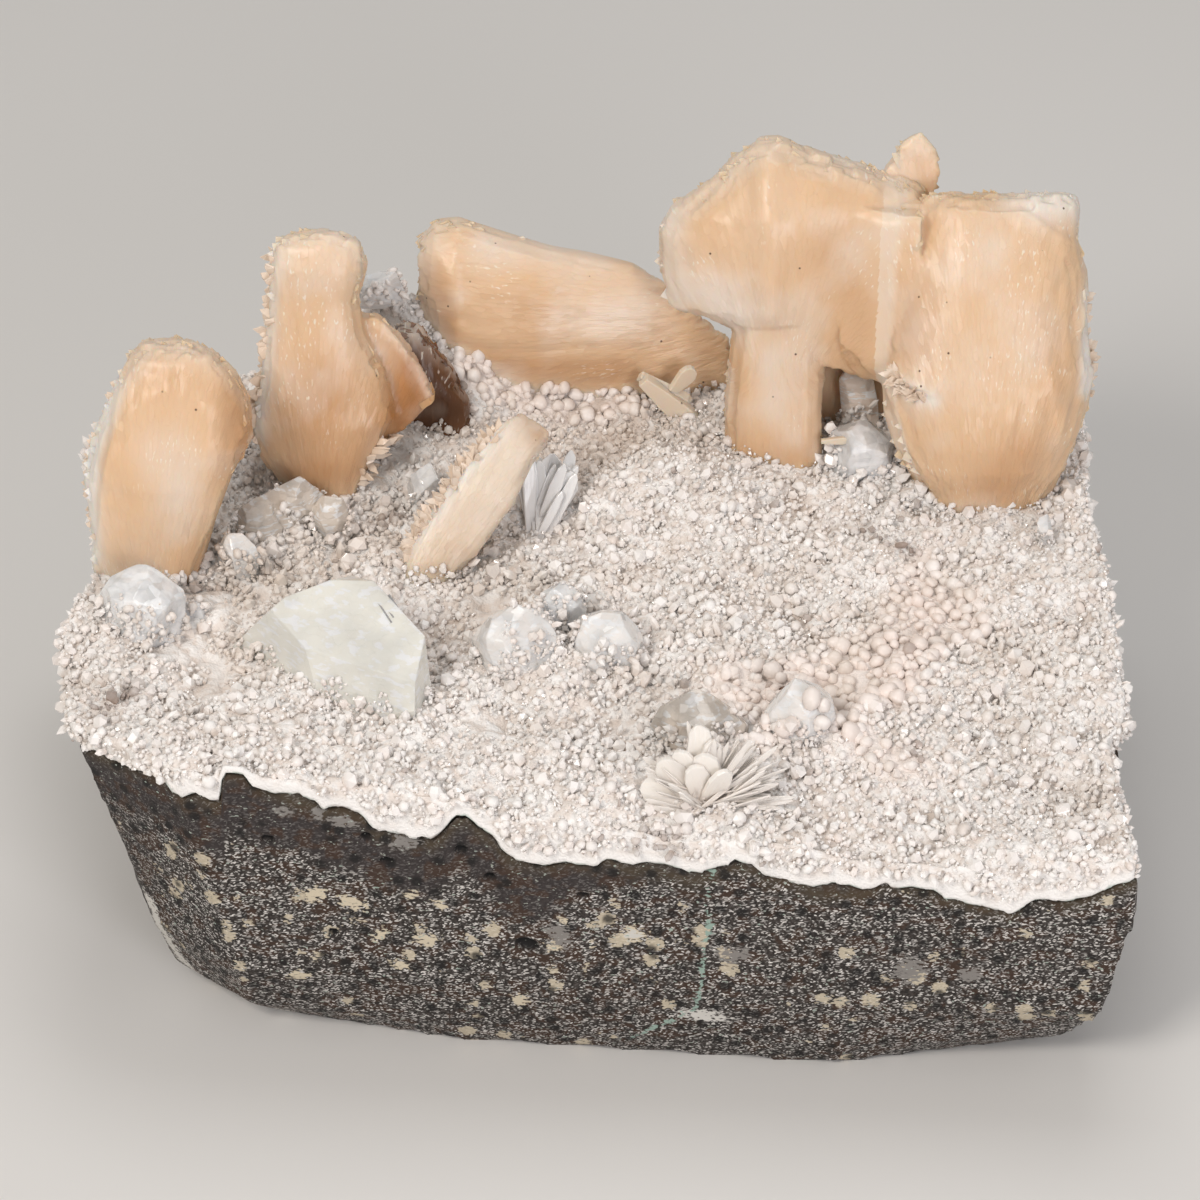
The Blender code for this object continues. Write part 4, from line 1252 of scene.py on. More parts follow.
@dataclass
class Crust:
    """The druse crust: a lumpy white ground carrying many thousand small grains."""

    cell: float = 0.62
    sunk: float = 0.8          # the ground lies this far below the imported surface
    mound: float = 13.0
    mound_height: float = 1.2
    lump: float = 4.6
    lump_height: float = 0.7
    knob: float = 3.4
    knob_height: float = 1.8
    bead: float = 1.3
    bead_height: float = 0.6
    round: float = 1.9         # the rounded balls of the botryoidal patch
    round_height: float = 0.85
    trough: float = 1.3        # how much lower the beige hollows lie
    band: float = 1.3          # height of the white band over the contact line
    bare: float = 3.0          # below this height over the line the crust is smooth
    strips: int = 3            # pieces that the ground is cut into
    spacing: float = 0.9       # distance between grains
    ball_spacing: float = 2.1
    candidates: int = 230000
    seed: int = 20
    growths: tuple[Growth, ...] = field(default_factory=lambda: (
        Growth("druse_balls", ball_shape(), (0.0, 1.0), 0.85, 0.2, 0.3, 0.3, smooth=True,
               zone=True, buried=0.6),
        Growth("druse_grains", nugget_shape(), (0.0, 0.14), 0.5, 0.3, 0.8, 0.5, smooth=True,
               buried=0.6),
        Growth("druse_chips", chip_shape(0.9), (0.14, 0.24), 0.48, 0.35, 0.6, 0.3, buried=0.5),
        Growth("druse_points", point_shape(), (0.24, 0.36), 0.44, 0.35, 0.5, 0.2, buried=0.4,
               stretch=1.4),
        Growth("druse_clear_grains", chip_shape(0.9), (0.36, 0.42), 0.55, 0.35, 0.7, 0.25,
               finish="clear_grain", buried=0.4),
        Growth("druse_sugar", spark_shape(), (0.42, 0.95), 0.32, 0.3, 1.0, 0.0,
               finish="sugar", buried=0.2),
    ))
    balls: tuple[Patch, ...] = (
        Patch((22, -26), (40, -22), 7, 0.9), Patch((40, -22), (50, -6), 7, 0.9),
        Patch((48, -6), (48, 4), 6, 0.7), Patch((-20, 41), (4, 42), 4, 0.8),
        Patch((26, -34), (44, -40), 6, 0.55),
    )
    # Beige patches, partly painted shade in the valleys and partly the crust's own beige; they also
    # lower the crust there.
    beige: tuple[Patch, ...] = (
        Patch((-52, -4), (-36, 8), 9, 0.6), Patch((-20, 8), (-6, 22), 9, 0.55),
        Patch((-18, 32), (10, 34), 7, 0.75), Patch((-62, -16), (-52, -22), 7, 0.5),
        Patch((42, -2), (32, -30), 3.5, 0.5), Patch((62, -18), (58, -2), 7, 0.3),
        Patch((-24, -14), (-14, -6), 7, 0.4), Patch((8, 2), (26, -2), 8, 0.18),
    )
    stains: tuple[Patch, ...] = (
        Patch((27.4, -25.4), (27.6, -25.6), 0.9, 1.4), Patch((-71, -36), (-68, -33), 2.4, 0.7),
        Patch((-60, -3.4), (-56, -4.6), 1.4, 0.6), Patch((-52, -53), (-50, -53), 1.6, 0.4),
        Patch((6, -57), (11, -57), 1.3, 0.5), Patch((12.5, -51), (13.5, -52), 1.0, 0.5),
        Patch((-34, 11), (-30, 12), 1.2, 0.6), Patch((40, 12), (47, 8), 1.2, 0.7),
    )

    def build(self, ground: Ground) -> Mesh:
        """Makes the crust's ground."""
        mesh = refined(remeshed(layout_copy("druse_crust"), self.cell), Vector((0, 0, 1)), 0.2)
        places, normals = read_places(mesh), read_normals(mesh)
        top = smoothstep(0.1, 0.6, normals[:, 2])
        ball = sum_patches(places[:, :2], self.balls) + 0.25 * noise(places, 6.0, 21, 2)
        ball = smoothstep(0.3, 0.6, ball)
        lumps = self.lump_height * noise(places, self.lump, 11, 2) * (1.0 - 0.4 * ball)
        lumps += self.mound_height * noise(places, self.mound, 15)
        lumps -= self.trough * np.clip(sum_patches(places[:, :2], self.beige), 0.0, 1.2)
        knobs = self.knob_height * (cell_domes(places, self.knob, 12) - 0.6)
        beads = self.bead_height * (cell_domes(places, self.bead, 16) - 0.6)
        rounds = self.round_height * (cell_domes(places, self.round, 17) - 0.6)
        fine = beads + (rounds - beads) * ball
        lifted = lumps + knobs + fine
        sides = smoothstep(0.9, 0.3, np.abs(normals[:, 2]))
        places = ground.follow(places)
        at_face = places[:, 1] < front_line(places[:, 0]) + 0.8
        moved = (lifted - self.sunk) * top + 0.5 * (lifted - 0.4) * sides * ~at_face
        moved += 0.08 * noise(places, 1.2, 13) * at_face
        places = places + normals * moved[:, None]
        write_places(mesh, places)
        over = places[:, 2] - ground.line(places[:, 0])
        near = smoothstep(1.6, 0.4, places[:, 1] - front_line(places[:, 0]))
        white = near * smoothstep(self.band + 2.0, self.band, over)
        contact = near * smoothstep(0.75, 0.2, over + 0.3 * noise(places, 1.1, 14))
        # Painted shade: the lower the relief, the more the ground is darkened.
        painted_hollow_shade = np.clip(0.05 - 0.42 * (lumps + knobs) - 0.35 * fine, 0.0, 0.9) * top
        set_attribute(mesh, "ground", np.column_stack((white, contact, painted_hollow_shade)))
        pale = smoothstep(-0.5, 0.3, noise(places, 1.3, 18, 3))
        rusty = 0.7 * smoothstep(0.3, 0.5, noise(places, 4.0, 19, 2))
        set_attribute(mesh, "patches", np.column_stack((pale, rusty, ball)))
        return mesh

    def sites(self, mesh: Mesh, ground: Ground, bodies: list[Body],
              rng: Generator) -> tuple[ndarray, ndarray]:
        """Picks where grains may sit: the crust's top, and the feet of the big crystals.

        Args:
            mesh: the crust's ground.
            ground: gives the contact line.
            bodies: the big crystals, inside which no grain is needed.
            rng: the source of chance.

        Returns:
            The places and the surface directions there.
        """
        places, normals = surface_points(mesh, self.candidates, rng)
        over = places[:, 2] - ground.line(places[:, 0])
        at_face = places[:, 1] < front_line(places[:, 0]) + 0.7
        keep = (normals[:, 2] > -0.25) & ~(at_face & (over < self.bare))
        keep &= places[:, 2] > 30.0
        places, normals = places[keep], normals[keep]
        first = thinned(places, self.spacing, rng)
        places, normals = places[first], normals[first]
        open_air = [not buried(Vector(place), bodies) for place in places]
        base = tree_of(mesh)
        feet = [body.foot(base) for body in bodies]
        coat = np.concatenate([foot[0] for foot in feet])
        facing = np.concatenate([foot[1] for foot in feet])
        first = thinned(coat, self.spacing, rng)
        return (np.concatenate((places[open_air], coat[first])),
                np.concatenate((normals[open_air], facing[first])))

    def grow(self, mesh: Mesh, ground: Ground, bodies: list[Body],
             finishes: dict[str, Coat]) -> None:
        """Covers the ground with grains, as a few joined pieces."""
        rng = np.random.default_rng(self.seed)
        places, normals = self.sites(mesh, ground, bodies, rng)
        flat = places[:, :2]
        ball = sum_patches(flat, self.balls) + 0.25 * noise(places, 6.0, 21, 2)
        kind = rng.random(len(places))
        in_zone = ball > 0.5
        zone = np.flatnonzero(in_zone)
        balls = np.zeros(len(places), bool)
        balls[zone[thinned(places[zone], self.ball_spacing, rng)]] = True
        small = ~balls & ~(in_zone & (kind > 0.1))
        edge = np.exp(-np.maximum(places[:, 1] - front_line(places[:, 0]), 0.0) / 9.0)
        # beige: the patches, partly painted shade in the valleys, with random tone, paler near the front
        # edge
        beige = np.clip(sum_patches(flat, self.beige) + 0.4 * noise(places, 5.0, 22, 3)
                        + rng.normal(0.06, 0.14, len(places)) - 0.45 * edge, 0.0, 0.9)
        pink = np.clip(0.8 * ball + rng.normal(0.15, 0.2, len(places)), 0.0, 1.0)
        stain = np.clip(sum_patches(flat, self.stains), 0.0, 1.0)
        stain = np.maximum(stain, 0.5 * (rng.random(len(places)) < 0.008))
        tints = np.column_stack((beige, pink, stain))
        for growth in self.growths:
            if growth.zone:
                chosen = balls
            else:
                chosen = small & (kind >= growth.kinds[0]) & (kind < growth.kinds[1])
            rows = np.flatnonzero(chosen)
            rows = rows[np.argsort(flat[rows, 0])]
            growth.plant(places[rows], normals[rows], tints[rows], finishes, rng)


# Stilbite


class FoldKind(Enum):
    """How a fold changes the front of a sheaf."""

    RIDGE = "ridge"
    STEP = "step"


@dataclass(frozen=True)
class Fold:
    """A ridge or a step on a sheaf's front, along a line in its (across, up) plane."""

    kind: FoldKind
    start: Pair
    end: Pair
    width: float
    lift: float
    fade: float = 5.0

    def at(self, points: ndarray) -> ndarray:
        """How far the front is lifted at each flat point."""
        distance, along = segment_distance(points, self.start, self.end)
        ends = smoothstep(-0.02, 0.15, along) * smoothstep(1.02, 0.85, along)
        if self.kind is FoldKind.RIDGE:
            return self.lift * np.exp(-((distance / self.width) ** 2))
        run = np.subtract(self.end, self.start)
        away = points - np.asarray(self.start)
        side = (run[0] * away[:, 1] - run[1] * away[:, 0]) / np.hypot(*run)
        edge = smoothstep(-self.width / 2, self.width / 2, side)
        return self.lift * edge * np.exp(-np.maximum(side, 0.0) / self.fade) * ends


def tilt_axes(lean: float, roll: float) -> tuple[ndarray, ndarray, ndarray]:
    """Side, growth and depth directions of a crystal that leans back, then rolls right."""
    lean, roll = math.radians(lean), math.radians(roll)
    back = np.array((0.0, math.sin(lean), math.cos(lean)))
    across = np.array((1.0, 0.0, 0.0))
    side = across * math.cos(roll) - back * math.sin(roll)
    growth = back * math.cos(roll) + across * math.sin(roll)
    return side, growth, np.cross(growth, side)


@dataclass
class Lobe:
    """One fan of blades: its place, its tilt, and what shows on its front."""

    root: Triple
    lean: float
    roll: float
    fan: Pair                 # (across, up) of the point the blades spread from
    folds: tuple[Fold, ...] = ()
    tones: tuple[Patch, ...] = ()            # below 0 paler, above 0 deeper
    tone: float = 0.0
    lying: bool = False

    @property
    def axes(self) -> tuple[ndarray, ndarray, ndarray]:
        """Across, up and depth directions. A lying lobe grows to the left."""
        side, growth, depth = tilt_axes(self.lean, self.roll)
        return (growth, -side, depth) if self.lying else (side, growth, depth)

    def local(self, places: ndarray) -> ndarray:
        """Points as (across, up, depth) from the root."""
        return (places - np.asarray(self.root)) @ np.column_stack(self.axes)

    def world(self, across: float, up: float, deep: float) -> ndarray:
        """The layout place of one (across, up, depth)."""
        side, growth, depth = self.axes
        return np.asarray(self.root) + side * across + growth * up + depth * deep


@dataclass(frozen=True)
class Fringe:
    """A row of small blades that stand out along an edge of a sheaf."""

    name: str
    lobe: int
    path: tuple[Pair, ...]    # (across, up)
    depth: Pair
    count: int
    length: Pair
    width: Pair
    lean: float = 0.3                        # how far the blades stray


@dataclass(frozen=True)
class Fill:
    """A lump of the same growth that closes a gap: corners as (across, up, deep) of a lobe."""

    lobe: int
    corners: tuple[Triple, ...]

    def add(self, whole: BMesh, lobe: Lobe) -> None:
        """Adds the lump to a mesh."""
        bm = bmesh.new()
        for corner in self.corners:
            bm.verts.new(lobe.world(*corner))
        bmesh.ops.convex_hull(bm, input=bm.verts[:])
        merge(whole, bm)


@dataclass
class Sheaf:
    """A stilbite sheaf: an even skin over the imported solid, ragged where blades end."""

    name: str
    node: str
    lobes: tuple[Lobe, ...]
    finish: str = "stilbite"
    fringes: tuple[Fringe, ...] = ()
    fills: tuple[Fill, ...] = ()
    cell: float = 0.38         # size of the skin's quads
    rim_rounding: int = 7      # rounding steps at the rim, and on the faces
    face_rounding: int = 150
    tooth: float = 1.1         # width of a blade tip
    tooth_height: float = 0.26
    ledge: float = 4.2         # width of the broader steps in the outline
    ledge_height: float = 0.34
    layer: float = 1.5         # thickness of a layer of blades
    rib: float = 0.07
    swell: float = 0.22
    sink: float = 3.0
    climb: float = 1.3         # how high druse has grown on the foot
    tips: int = 70             # separate blade tips round the rim
    tip_width: Pair = (0.9, 2.2)
    tip_thickness: Pair = (0.4, 1.0)
    tip_length: Pair = (1.6, 2.6)

    def build(self, crust: BVHTree, finishes: dict[str, Coat]) -> Body:
        """Makes the sheaf and its fringes.

        Args:
            crust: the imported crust, into which the foot is sunk.
            finishes: the materials by name.

        Returns:
            The finished sheaf, as the druse meets it.
        """
        bm = layout_copy(self.node)
        sink_foot(bm, crust, self.sink)
        for fill in self.fills:
            fill.add(bm, self.lobes[fill.lobe])
        mesh = remeshed(bm, self.cell)
        places = relaxed(mesh, read_places(mesh), self.rim_rounding)
        rounded = relaxed(mesh, places, self.face_rounding)
        write_places(mesh, rounded)
        nearest, meeting = self.nearest_lobe(places)
        depth = np.mean([lobe.axes[2] for lobe in self.lobes], axis=0)
        flat = smoothstep(0.55, 0.9, np.abs(read_normals(mesh) @ depth))
        places = places + (rounded - places) * flat[:, None]
        write_places(mesh, places)
        normals = read_normals(mesh)
        fan, tone = np.zeros((len(places), 3)), np.zeros(len(places))
        moved = places.copy()
        for number, lobe in enumerate(self.lobes):
            rows = nearest == number
            shift, fan[rows], tone[rows] = self.detail(lobe, places[rows], normals[rows])
            moved[rows] += shift * meeting[rows, None]
        write_places(mesh, moved)
        set_attribute(mesh, "fan", fan)
        set_attribute(mesh, "tone", tone)
        set_attribute(mesh, "shades", np.column_stack((
            noise(moved, 9.0, 41, 3), noise(moved, 5.0, 42), meeting)))
        body = Body.of(mesh, 12000, self.climb)
        for fringe in self.fringes:
            self.add_fringe(fringe, body.tree, finishes)
        self.add_tips(moved, normals, nearest, fan, tone, finishes)
        set_piece(self.name, mesh, finishes[self.finish], (self.node,))
        return body

    def add_tips(self, places: ndarray, normals: ndarray, nearest: ndarray,
                 fan: ndarray, tone: ndarray,
                 finishes: dict[str, Coat]) -> None:
        """Sets flat blade tips round the rim, in line with the sheaf's own blades.

        Args:
            places: the sheaf's points.
            normals: their directions.
            nearest: their lobes' numbers.
            fan: their fan coordinates.
            tone: their tones.
            finishes: the materials by name.
        """
        rng = np.random.default_rng(sum(map(ord, self.name)))
        axes = np.array([lobe.axes for lobe in self.lobes])[nearest]
        facing = np.einsum("ni,ni->n", normals, axes[:, 2])
        growing = np.einsum("ni,ni->n", normals, axes[:, 1])
        rim = (np.abs(facing) < 0.5) & (growing > -0.5) & (fan[:, 2] > 0.8)
        rows = np.flatnonzero(rim & (places[:, 2] > places[:, 2].min() + 7.0))
        rows = rng.choice(rows, min(self.tips, len(rows)), replace=False)
        depth = axes[rows, 2]
        out = unit(normals[rows] - depth * facing[rows, None])
        spread = np.array([lobe.world(*lobe.fan, 0.0) for lobe in self.lobes])[nearest[rows]]
        away = places[rows] - spread
        away = unit(away - depth * np.sum(away * depth, axis=1)[:, None])
        up = unit(out + 0.9 * away + rng.normal(0.0, 0.05, out.shape))
        turns = turned_to(up, depth + rng.normal(0.0, 0.05, up.shape))
        count = len(rows)
        length = rng.uniform(*self.tip_length, count)
        sizes = np.column_stack((rng.uniform(*self.tip_width, count),
                                 rng.uniform(*self.tip_thickness, count), length))
        marks = {"fan": fan[rows] * (1.0, 1.0, 0.95), "tone": tone[rows],
                 "shades": np.tile((0.0, 0.0, 1.0), (len(rows), 1))}
        centres = places[rows] - up * (length - rng.uniform(0.0, 0.3, count))[:, None]
        mesh = blade_shape(0.8).joined(f"{self.name}_rim_blades", centres, turns, sizes, marks)
        set_piece(mesh.name, mesh, finishes[self.finish], smooth=False)

    def nearest_lobe(self, places: ndarray) -> tuple[ndarray, ndarray]:
        """Tells which lobe each point belongs to.

        Args:
            places: the points.

        Returns:
            The number of the lobe whose growth axis is nearest, and 1 well inside a lobe, 0 where
            two meet.
        """
        distances = []
        for lobe in self.lobes:
            across, _, deep = lobe.local(places).T
            distances.append(np.hypot(across, deep))
        ordered = np.sort(distances, axis=0)
        inside = smoothstep(0.0, 4.0, ordered[1] - ordered[0]) if len(distances) > 1 \
            else np.ones(len(places))
        return np.argmin(distances, axis=0), inside

    def detail(self, lobe: Lobe, places: ndarray,
               normals: ndarray) -> tuple[ndarray, ndarray, ndarray]:
        """Works out one lobe's relief.

        Args:
            lobe: the lobe.
            places: its points.
            normals: their directions.

        Returns:
            How far each point moves, its fan coordinates and its tone.
        """
        depth = lobe.axes[2]
        local = lobe.local(places)
        across, up, deep = local.T
        inplane = normals - np.outer(normals @ depth, depth)
        flat = np.linalg.norm(inplane, axis=1)
        rim = smoothstep(0.5, 0.92, flat)
        outward = inplane / np.maximum(flat, 1e-6)[:, None]
        angle = np.arctan2(across - lobe.fan[0], up - lobe.fan[1])
        reach = np.hypot(across - lobe.fan[0], up - lobe.fan[1])
        share = reach / self.outline(angle, reach)
        low = smoothstep(11.0, 3.0, up - lobe.fan[1])
        spread = angle * np.median(reach)
        blade = np.column_stack((spread + (across - lobe.fan[0] - spread) * low,
                                 reach + (up - lobe.fan[1] - reach) * low, np.zeros(len(reach))))
        layer = np.floor(deep / self.layer + 0.5 * noise(local, 9.0, 32))
        run = blade[:, 0] + 0.8 * noise(local, 3.0, 33)
        teeth = self.tooth_height * steps(run, layer, self.tooth, 31)
        ledges = self.ledge_height * steps(run, np.floor(layer / 2), self.ledge, 38)
        out = rim * (teeth + ledges)
        ribs = self.rib * noise(blade, (1.1, 12.0, 1.0), 34, 2)
        scales = 0.12 * noise(blade, (0.9, 2.0, 1.0), 35) * smoothstep(0.72, 0.97, share)
        facing = smoothstep(0.0, 0.5, -(normals @ depth))
        lift = sum((fold.at(local[:, :2]) for fold in lobe.folds), np.zeros(len(places))) * facing
        face = (ribs + scales) * (1.0 - rim) + self.swell * noise(places, 8.0, 36, 2)
        shift = outward * out[:, None] + normals * face[:, None] - np.outer(lift, depth)
        tone = lobe.tone + sum_patches(local[:, :2], lobe.tones) + 0.12 * noise(places, 10.0, 37)
        return shift, np.column_stack((blade[:, :2], share)), tone

    def outline(self, angle: ndarray, reach: ndarray, parts: int = 90) -> ndarray:
        """The lobe's greatest reach in each direction round its fan point."""
        turn = 2.0 * math.pi
        bins = ((angle / turn) * parts).astype(int) % parts
        most = np.zeros(parts)
        np.maximum.at(most, bins, reach)
        most[most == 0.0] = np.median(reach)
        return np.interp(angle, (np.arange(parts) + 0.5) * turn / parts, most, period=turn)

    def add_fringe(self, fringe: Fringe, tree: BVHTree,
                   finishes: dict[str, Coat]) -> None:
        """Sets a row of small blades on the sheaf's surface."""
        rng = np.random.default_rng(sum(map(ord, fringe.name)))
        lobe = self.lobes[fringe.lobe]
        side, growth, depth = lobe.axes
        path = np.asarray(fringe.path, float)
        ticks = np.linspace(0, len(path) - 1, fringe.count) + rng.uniform(-0.05, 0.05, fringe.count)
        centres, ups = [], []
        for tick in np.clip(ticks, 0, len(path) - 1):
            across = np.interp(tick, range(len(path)), path[:, 0]) + rng.normal(0.0, 0.3)
            up = np.interp(tick, range(len(path)), path[:, 1]) + rng.normal(0.0, 0.3)
            away = np.array((across, up)) - np.asarray(lobe.fan)
            away /= np.linalg.norm(away)
            near, normal, _, _ = tree.find_nearest(lobe.world(across, up, rng.uniform(*fringe.depth)))
            out = 0.75 * np.array(normal) + 0.55 * (side * away[0] + growth * away[1])
            centres.append(np.array(near) - 0.35 * out)
            ups.append(out + rng.normal(0.0, fringe.lean, 3))
        ups = unit(np.array(ups))
        turns = turned_to(ups, depth + rng.normal(0.0, 0.35, ups.shape))
        count = len(centres)
        width = rng.uniform(*fringe.width, count)
        sizes = np.column_stack((width, width * rng.uniform(0.25, 0.5, count),
                                 rng.uniform(*fringe.length, count)))
        tints = np.column_stack((rng.uniform(0.0, 0.25, count), rng.uniform(0.2, 0.7, count),
                                 np.zeros(count)))
        mesh = blade_shape(0.5).joined(fringe.name, np.array(centres), turns, sizes,
                                       {"tint": tints})
        set_piece(fringe.name, mesh, finishes["fringe"], smooth=False)


def sink_foot(bm: BMesh, crust: BVHTree, depth: float, near: float = 1.0) -> None:
    """Pushes the points that stand on the crust down into it."""
    for vert in bm.verts:
        hit = crust.ray_cast(vert.co + Vector((0, 0, 0.05)), Vector((0, 0, -1)))
        if hit[0] is not None and hit[3] < near:
            vert.co.z -= depth


LEFT = Lobe(
    (-65.0, -0.5, 47.0), 20, 0, (-2.0, -16.0),
    folds=(Fold(FoldKind.RIDGE, (8.0, 12.0), (8.6, 32.0), 2.6, 0.7),
           Fold(FoldKind.STEP, (-5.3, 33.0), (-8.6, 14.0), 0.8, 0.8, 9.0),
           Fold(FoldKind.STEP, (-8.6, 15.0), (-10.6, 0.0), 0.8, 0.8, 9.0)),
    tones=(Patch((-11.6, 4.0), (-11.4, 16.0), 2.6, -1.3), Patch((-11.2, 16.0), (-7.0, 30.0), 1.7, -1.2),
           Patch((13.0, 12.0), (12.5, 28.0), 3.6, 0.6), Patch((1.0, 20.0), (3.0, 14.0), 5.5, -0.4),
           Patch((-8.0, 0.0), (-2.0, 1.5), 3.0, -0.3), Patch((-4.0, 14.0), (-6.0, 22.0), 3.5, 0.15),
           Patch((2.0, 32.0), (-2.0, 33.0), 5.0, 0.15), Patch((3.0, -2.0), (6.0, 2.0), 4.0, 0.4)),
)
TALL = Lobe(
    (-40.5, 19.9, 47.0), 18, 0, (-2.0, -12.0),
    tones=(Patch((-2.0, 12.0), (0.0, 18.0), 6.0, 0.5), Patch((4.0, 6.0), (8.0, 12.0), 4.0, 0.45),
           Patch((-4.0, 4.0), (-2.0, 5.0), 3.5, 0.5), Patch((-11.6, 12.0), (-9.4, 38.0), 2.2, -0.8),
           Patch((0.0, 38.0), (2.0, 39.0), 5.0, -0.15), Patch((10.0, 14.0), (9.0, 24.0), 3.6, 0.3),
           Patch((13.4, 8.0), (12.6, 20.0), 3.2, 1.0)),
)
# This sheaf stands in shade: its tone of 1.9 paints it deep brown as painted shade.
SHADOW = Lobe((-26.4, 34.2, 45.4), 10, 0, (0.0, -14.0), tone=1.9)
RECLINING = Lobe(
    (0.0, 47.0, 49.0), 14, 0, (12.0, -38.0), lying=True,
    folds=(Fold(FoldKind.STEP, (10.5, 25.0), (10.2, 4.0), 2.6, 0.55, 8.0),
           Fold(FoldKind.STEP, (10.2, 5.0), (9.0, -9.0), 2.6, 0.5, 8.0),
           Fold(FoldKind.STEP, (25.0, 22.0), (12.0, 21.0), 1.6, -0.4, 4.0)),
    # The first tone patch, below the crease, is painted shade on the underside that turns downward.
    tones=(Patch((6.5, 18.0), (5.0, -2.0), 3.2, 0.55), Patch((15.0, -6.0), (14.0, 0.0), 5.0, -0.5),
           Patch((25.0, 18.0), (22.0, 0.0), 2.6, -0.4), Patch((21.0, 25.5), (12.0, 23.5), 2.2, 0.4),
           Patch((17.0, 12.0), (14.0, 10.0), 4.5, 0.18)),
)
CENTRE = Lobe(
    (27.9, 32.6, 48.0), 16, 0, (-1.0, 6.0),
    folds=(Fold(FoldKind.RIDGE, (-2.2, 24.0), (-2.8, 48.0), 2.4, 1.1),
           Fold(FoldKind.STEP, (-4.7, 0.0), (-4.7, 22.0), 0.8, 0.35, 3.0),
           Fold(FoldKind.STEP, (3.4, 21.0), (3.4, 0.0), 0.8, 0.4, 3.0),
           Fold(FoldKind.STEP, (-8.0, 20.4), (3.0, 21.4), 0.8, 0.5, 3.0)),
    tones=(Patch((-11.0, 26.0), (-8.0, 22.0), 4.6, -0.7), Patch((6.0, 34.0), (9.0, 28.0), 5.5, 0.25),
           Patch((-2.0, 8.0), (-2.0, 16.0), 2.6, -0.35), Patch((-7.4, 2.0), (-7.4, 16.0), 2.0, 0.2),
           Patch((22.0, 45.0), (19.0, 38.0), 3.6, -0.75), Patch((-17.0, 36.0), (-16.0, 26.0), 2.6, -0.5),
           Patch((3.0, 0.0), (-4.0, -1.0), 3.0, 0.3), Patch((10.0, 16.0), (12.0, 22.0), 4.0, 0.2)),
)
RIGHT = Lobe(
    (58.9, 20.4, 47.0), 26, 0, (0.0, -18.0),
    folds=(Fold(FoldKind.RIDGE, (2.6, 15.0), (0.6, 4.0), 1.8, 0.35),
           Fold(FoldKind.RIDGE, (6.8, 17.0), (4.6, 5.0), 1.6, 0.4),
           Fold(FoldKind.RIDGE, (8.6, 20.0), (11.3, 11.0), 1.6, 0.6),
           Fold(FoldKind.STEP, (-16.0, 19.2), (-8.4, 16.2), 0.9, 0.9, 4.0),
           Fold(FoldKind.STEP, (14.0, 38.0), (4.0, 45.0), 1.0, 0.7, 5.0)),
    tones=(Patch((-11.0, 10.0), (-5.0, 8.0), 4.4, 0.1), Patch((-15.4, 18.4), (-9.0, 16.0), 1.4, -0.9),
           Patch((5.0, 8.0), (2.0, 3.0), 5.0, 0.55), Patch((15.0, 31.0), (14.6, 17.0), 1.3, -1.0),
           Patch((12.0, 45.0), (7.0, 45.0), 3.2, -0.8), Patch((-11.0, 30.0), (-12.0, 24.0), 3.4, 0.3),
           Patch((10.0, 16.0), (9.0, 26.0), 3.4, 0.25), Patch((0.0, 38.0), (-4.0, 42.0), 4.5, -0.15)),
)
BOW = Lobe(
    (-26.1, -2.0, 46.0), 42, 34, (0.0, -24.0),
    tones=(Patch((-5.4, 3.0), (-4.8, 26.0), 1.7, -1.1), Patch((1.0, 28.6), (-1.0, 29.0), 2.6, 1.1),
           Patch((0.0, 2.0), (1.0, 6.0), 3.0, 0.35), Patch((0.0, 18.0), (0.0, 22.0), 3.0, -0.2)),
)
